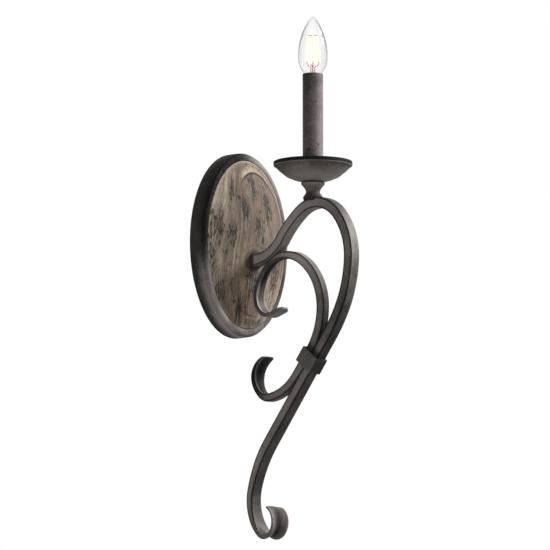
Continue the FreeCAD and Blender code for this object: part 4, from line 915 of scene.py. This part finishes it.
# Painted shade towards the tube's top and on its -X side, painted light on its front
SLEEVE_TONES = [(66, -0.1), (85, 0.05), (105, 0.12), (130, 0.05), (165, -0.08), (186, -0.2),
                (192.2, -0.35), (192.8, 0)]
SLEEVE_ROUND_TONES = [(0, -0.1), (150, -0.1), (180, -0.4), (200, -0.3), (225, 0.12), (270, 0.25),
                      (300, 0.15), (360, -0.1)]
sleeve_mesh = lathe("candle_tube", sleeve_profile, tones=SLEEVE_TONES, round_tones=SLEEVE_ROUND_TONES)
show("candle_tube", sleeve_mesh, "sleeve", sleeve_metal, "candle_sleeve")

# Bulb: glass, stem, glowing rods and the wires that hold them

GLASS = [(5.4, 182.2), (5.4, 185.4), (6.4, 188.0), (8.2, 190.1), (9.9, 191.7), (12.2, 195.7),
         (14.0, 198.7), (15.8, 202.7), (17.1, 208.2), (17.5, 214.6), (17.2, 221.6), (16.2, 229.3),
         (14.9, 234.9), (13.3, 239.7), (10.8, 246.3), (7.3, 253.2), (3.6, 258.6), (1.3, 260.8),
         (0.25, 261.4)]
GLASS_WALL = 0.75
GLASS_WIDEST = 214.0  # from this height up the glass is thinned downwards too
outer = smooth_curve(GLASS, 4)
inner = [(max(r - GLASS_WALL, 0.15), min(z, 260.4) - (0.8 if z > GLASS_WIDEST else 0))
         for r, z in outer[::-1]]
glass_mesh = lathe("candle_glass", outer + inner)
show("candle_glass", glass_mesh, "bulb", glass, "bulb_glass")

STEM = [(3.6, 182.3), (3.6, 184.6), (3.4, 187.5), (3.2, 190.5), (3.0, 194.5), (2.9, 199.0), (2.9, 201.8),
        (2.4, 203.4), (1.2, 204.1), (0.5, 204.6)]
stem_profile = smooth_curve(STEM, 4) + [(0.5, 238.6), (0.45, 239.0), (0.2, 239.2)]
stem_mesh = lathe("glass_stem", stem_profile, closed=False, segments=48)
show("glass_stem", stem_mesh, "bulb", stem_glass, "bulb_stem")

FILAMENT_TURNS = (45, 135, 225, 315)
FILAMENT_LOW = (6.9, 207.2)  # radius and height of the rods' lower ends
FILAMENT_HIGH = (4.8, 239.2)
LEAD_ROOT = (2.5, 186.0)  # where a lead starts in the stem, and where it leaves it
LEAD_BEND = (2.2, 200.0)
HOOK_TOP = 238.9
ROD_SHARES = (0.03, 0.035, 0.05, 0.5, 0.95, 0.965, 0.97)
ROD_RADII = (0.4, 0.85, 1.1, 1.1, 1.1, 0.85, 0.4)
LEAD_RADIUS = 0.52
HOOK_RADIUS = 0.42


def tube(name, points, radius, sides=16):
    """A round rod along points in millimetres. radius: one for all of them, or one for each."""
    points = np.array(points, float)
    radii = np.broadcast_to(radius, len(points))
    ways = np.gradient(points, axis=0)
    ways /= np.linalg.norm(ways, axis=1)[:, None]
    turns = np.linspace(0, 2 * math.pi, sides, endpoint=False)
    rows = []
    for point, way, size in zip(points, ways, radii):
        first = np.cross(way, (1.0, 0.0, 0.0) if abs(way[0]) < 0.8 else (0.0, 1.0, 0.0))
        first /= np.linalg.norm(first)
        second = np.cross(way, first)
        rows.append(point + size * (np.cos(turns)[:, None] * first + np.sin(turns)[:, None] * second))
    return grid_mesh(name, rows, caps=(True, True))


def joined(name, meshes):
    whole = bmesh.new()
    for mesh in meshes:
        whole.from_mesh(mesh)
    out = bpy.data.meshes.new(name)
    whole.to_mesh(out)
    whole.free()
    return out


def round_axis(turn, radius, height):
    """The point at this turn in degrees, radius and height about the candle's axis."""
    angle = math.radians(turn)
    return np.array([radius * math.cos(angle), CANDLE_Y + radius * math.sin(angle), height])


rods, wires = [], []
for turn in FILAMENT_TURNS:
    low = round_axis(turn, *FILAMENT_LOW)
    high = round_axis(turn, *FILAMENT_HIGH)
    rods.append(tube(f"rod_{turn}", [low + (high - low) * share for share in ROD_SHARES], ROD_RADII))
    root = round_axis(turn, *LEAD_ROOT)
    bend = round_axis(turn, *LEAD_BEND)
    knee = round_axis(turn, LEAD_BEND[0] + 2.6, LEAD_BEND[1] + 2.2)
    lead = smooth_curve([root, bend, knee, low - [0, 0, 1.6], low + (high - low) * 0.05], 4)
    wires.append(tube(f"lead_{turn}", lead, LEAD_RADIUS, sides=8))
    top = round_axis(turn, 0, HOOK_TOP)
    middle = (top + high) / 2 + [0, 0, 0.1]
    hook = smooth_curve([top, middle, high - [0, 0, 0.3], low + (high - low) * 0.95], 4)
    wires.append(tube(f"hook_{turn}", hook, HOOK_RADIUS, sides=8))
show("filament_rods", joined("filament_rods", rods), "bulb", glow, "filaments")
show("filament_leads", joined("filament_leads", wires), "bulb", wire, "filament_wires")

# Hardware behind the plate and inside the candle keeps its solids

for part in frame["record"]["subparts"]:
    if part["material_slot"] in finishes:
        for holder in frame["nodes"][part["node"]].material_slots:
            holder.material = finishes[part["material_slot"]]

# Camera: the photograph's angle, left of the lamp and a little below it

AZIMUTH = math.radians(-46.0)
ELEVATION = math.radians(-6.9)
DISTANCE = 3.9  # in metres
MM_PER_PIXEL = 1.198
FRAME_PIXELS = 550
PLATE_PIXEL = (232.9, 246.6)  # where the plate's centre on the wall appears

right = Vector((math.cos(AZIMUTH), math.sin(AZIMUTH), 0))
back = Vector((math.sin(AZIMUTH) * math.cos(ELEVATION), -math.cos(AZIMUTH) * math.cos(ELEVATION),
               math.sin(ELEVATION)))
upward = back.cross(right)
half_frame = FRAME_PIXELS / 2
pixel = MM_PER_PIXEL * MM
target = (right * (half_frame - PLATE_PIXEL[0]) - upward * (half_frame - PLATE_PIXEL[1])) * pixel
camera_data = bpy.data.cameras.new("camera")
camera_data.sensor_width = 36.0
camera_data.lens = camera_data.sensor_width * DISTANCE / (pixel * FRAME_PIXELS)
camera_data.clip_start = 0.1
camera_data.clip_end = 30.0
camera = new_object("camera", camera_data)
camera.location = target + back * DISTANCE
camera.rotation_mode = "QUATERNION"
camera.rotation_quaternion = Matrix((right, upward, back)).transposed().to_quaternion()
bpy.context.scene.camera = camera

# Light and background, in metres

WORLD_LIGHT = 0.15  # what the white world gives the object; the camera sees it in full
LIT_POINT = (0, -0.1, -0.05)  # where both lights point
FLOOR_Z = -1.0
FLOOR_REACH = 6.0

scene = bpy.context.scene
scene.view_settings.view_transform = "Standard"
world = bpy.data.worlds.new("plain_light")
scene.world = world
world.use_nodes = True
tree = world.node_tree
background = tree.nodes["Background"]
background.inputs["Color"].default_value = (1, 1, 1, 1)


def seen_share(nodes, links):
    """1 for camera, glossy and transmission rays, which see the pale background, and 0 for the others."""
    path = nodes.new("ShaderNodeLightPath")
    share = path.outputs["Is Camera Ray"]
    for kind in ("Is Glossy Ray", "Is Transmission Ray"):
        either = nodes.new("ShaderNodeMath")
        either.operation = "MAXIMUM"
        links.new(share, either.inputs[0])
        links.new(path.outputs[kind], either.inputs[1])
        share = either.outputs[0]
    return share


strength = tree.nodes.new("ShaderNodeMapRange")
strength.inputs["To Min"].default_value = WORLD_LIGHT
strength.inputs["To Max"].default_value = 1.0
tree.links.new(seen_share(tree.nodes, tree.links), strength.inputs["Value"])
tree.links.new(strength.outputs["Result"], background.inputs["Strength"])


def area_lamp(name, place, power, size):
    """A square light, size metres wide, that points at the middle of the object."""
    lamp = bpy.data.lights.new(name, "AREA")
    lamp.shape = "RECTANGLE"
    lamp.size = size
    lamp.size_y = size
    lamp.energy = power
    obj = new_object(name, lamp)
    obj.location = place
    obj.rotation_euler = (Vector(LIT_POINT) - Vector(place)).to_track_quat("-Z", "Y").to_euler()


area_lamp("key_right", (1.25, -1.15, 1.3), power=92.0, size=0.9)
area_lamp("fill_left", (-1.5, -1.4, -0.55), power=13.0, size=1.0)

corners = [(FLOOR_REACH * x, FLOOR_REACH * y, FLOOR_Z) for x, y in ((-1, -1), (1, -1), (1, 1), (-1, 1))]
floor_mesh = bpy.data.meshes.new("floor")
floor_mesh.from_pydata(corners, [], [(0, 1, 2, 3)])
floor = new_object("floor", floor_mesh)
floor_look = Nodes("pale_floor")
pale = seen_share(floor_look.tree.nodes, floor_look.tree.links)
floor_look.set(Base_Color=floor_look.mix(pale, (0.3, 0.3, 0.3, 1), (0.9, 0.9, 0.9, 1)), Roughness=0.9)
floor_look.set(Emission_Color=(1, 1, 1, 1), Emission_Strength=floor_look.spread(pale, 0.0, 1.0, 0.0, 0.5))
floor.data.materials.append(floor_look.material)
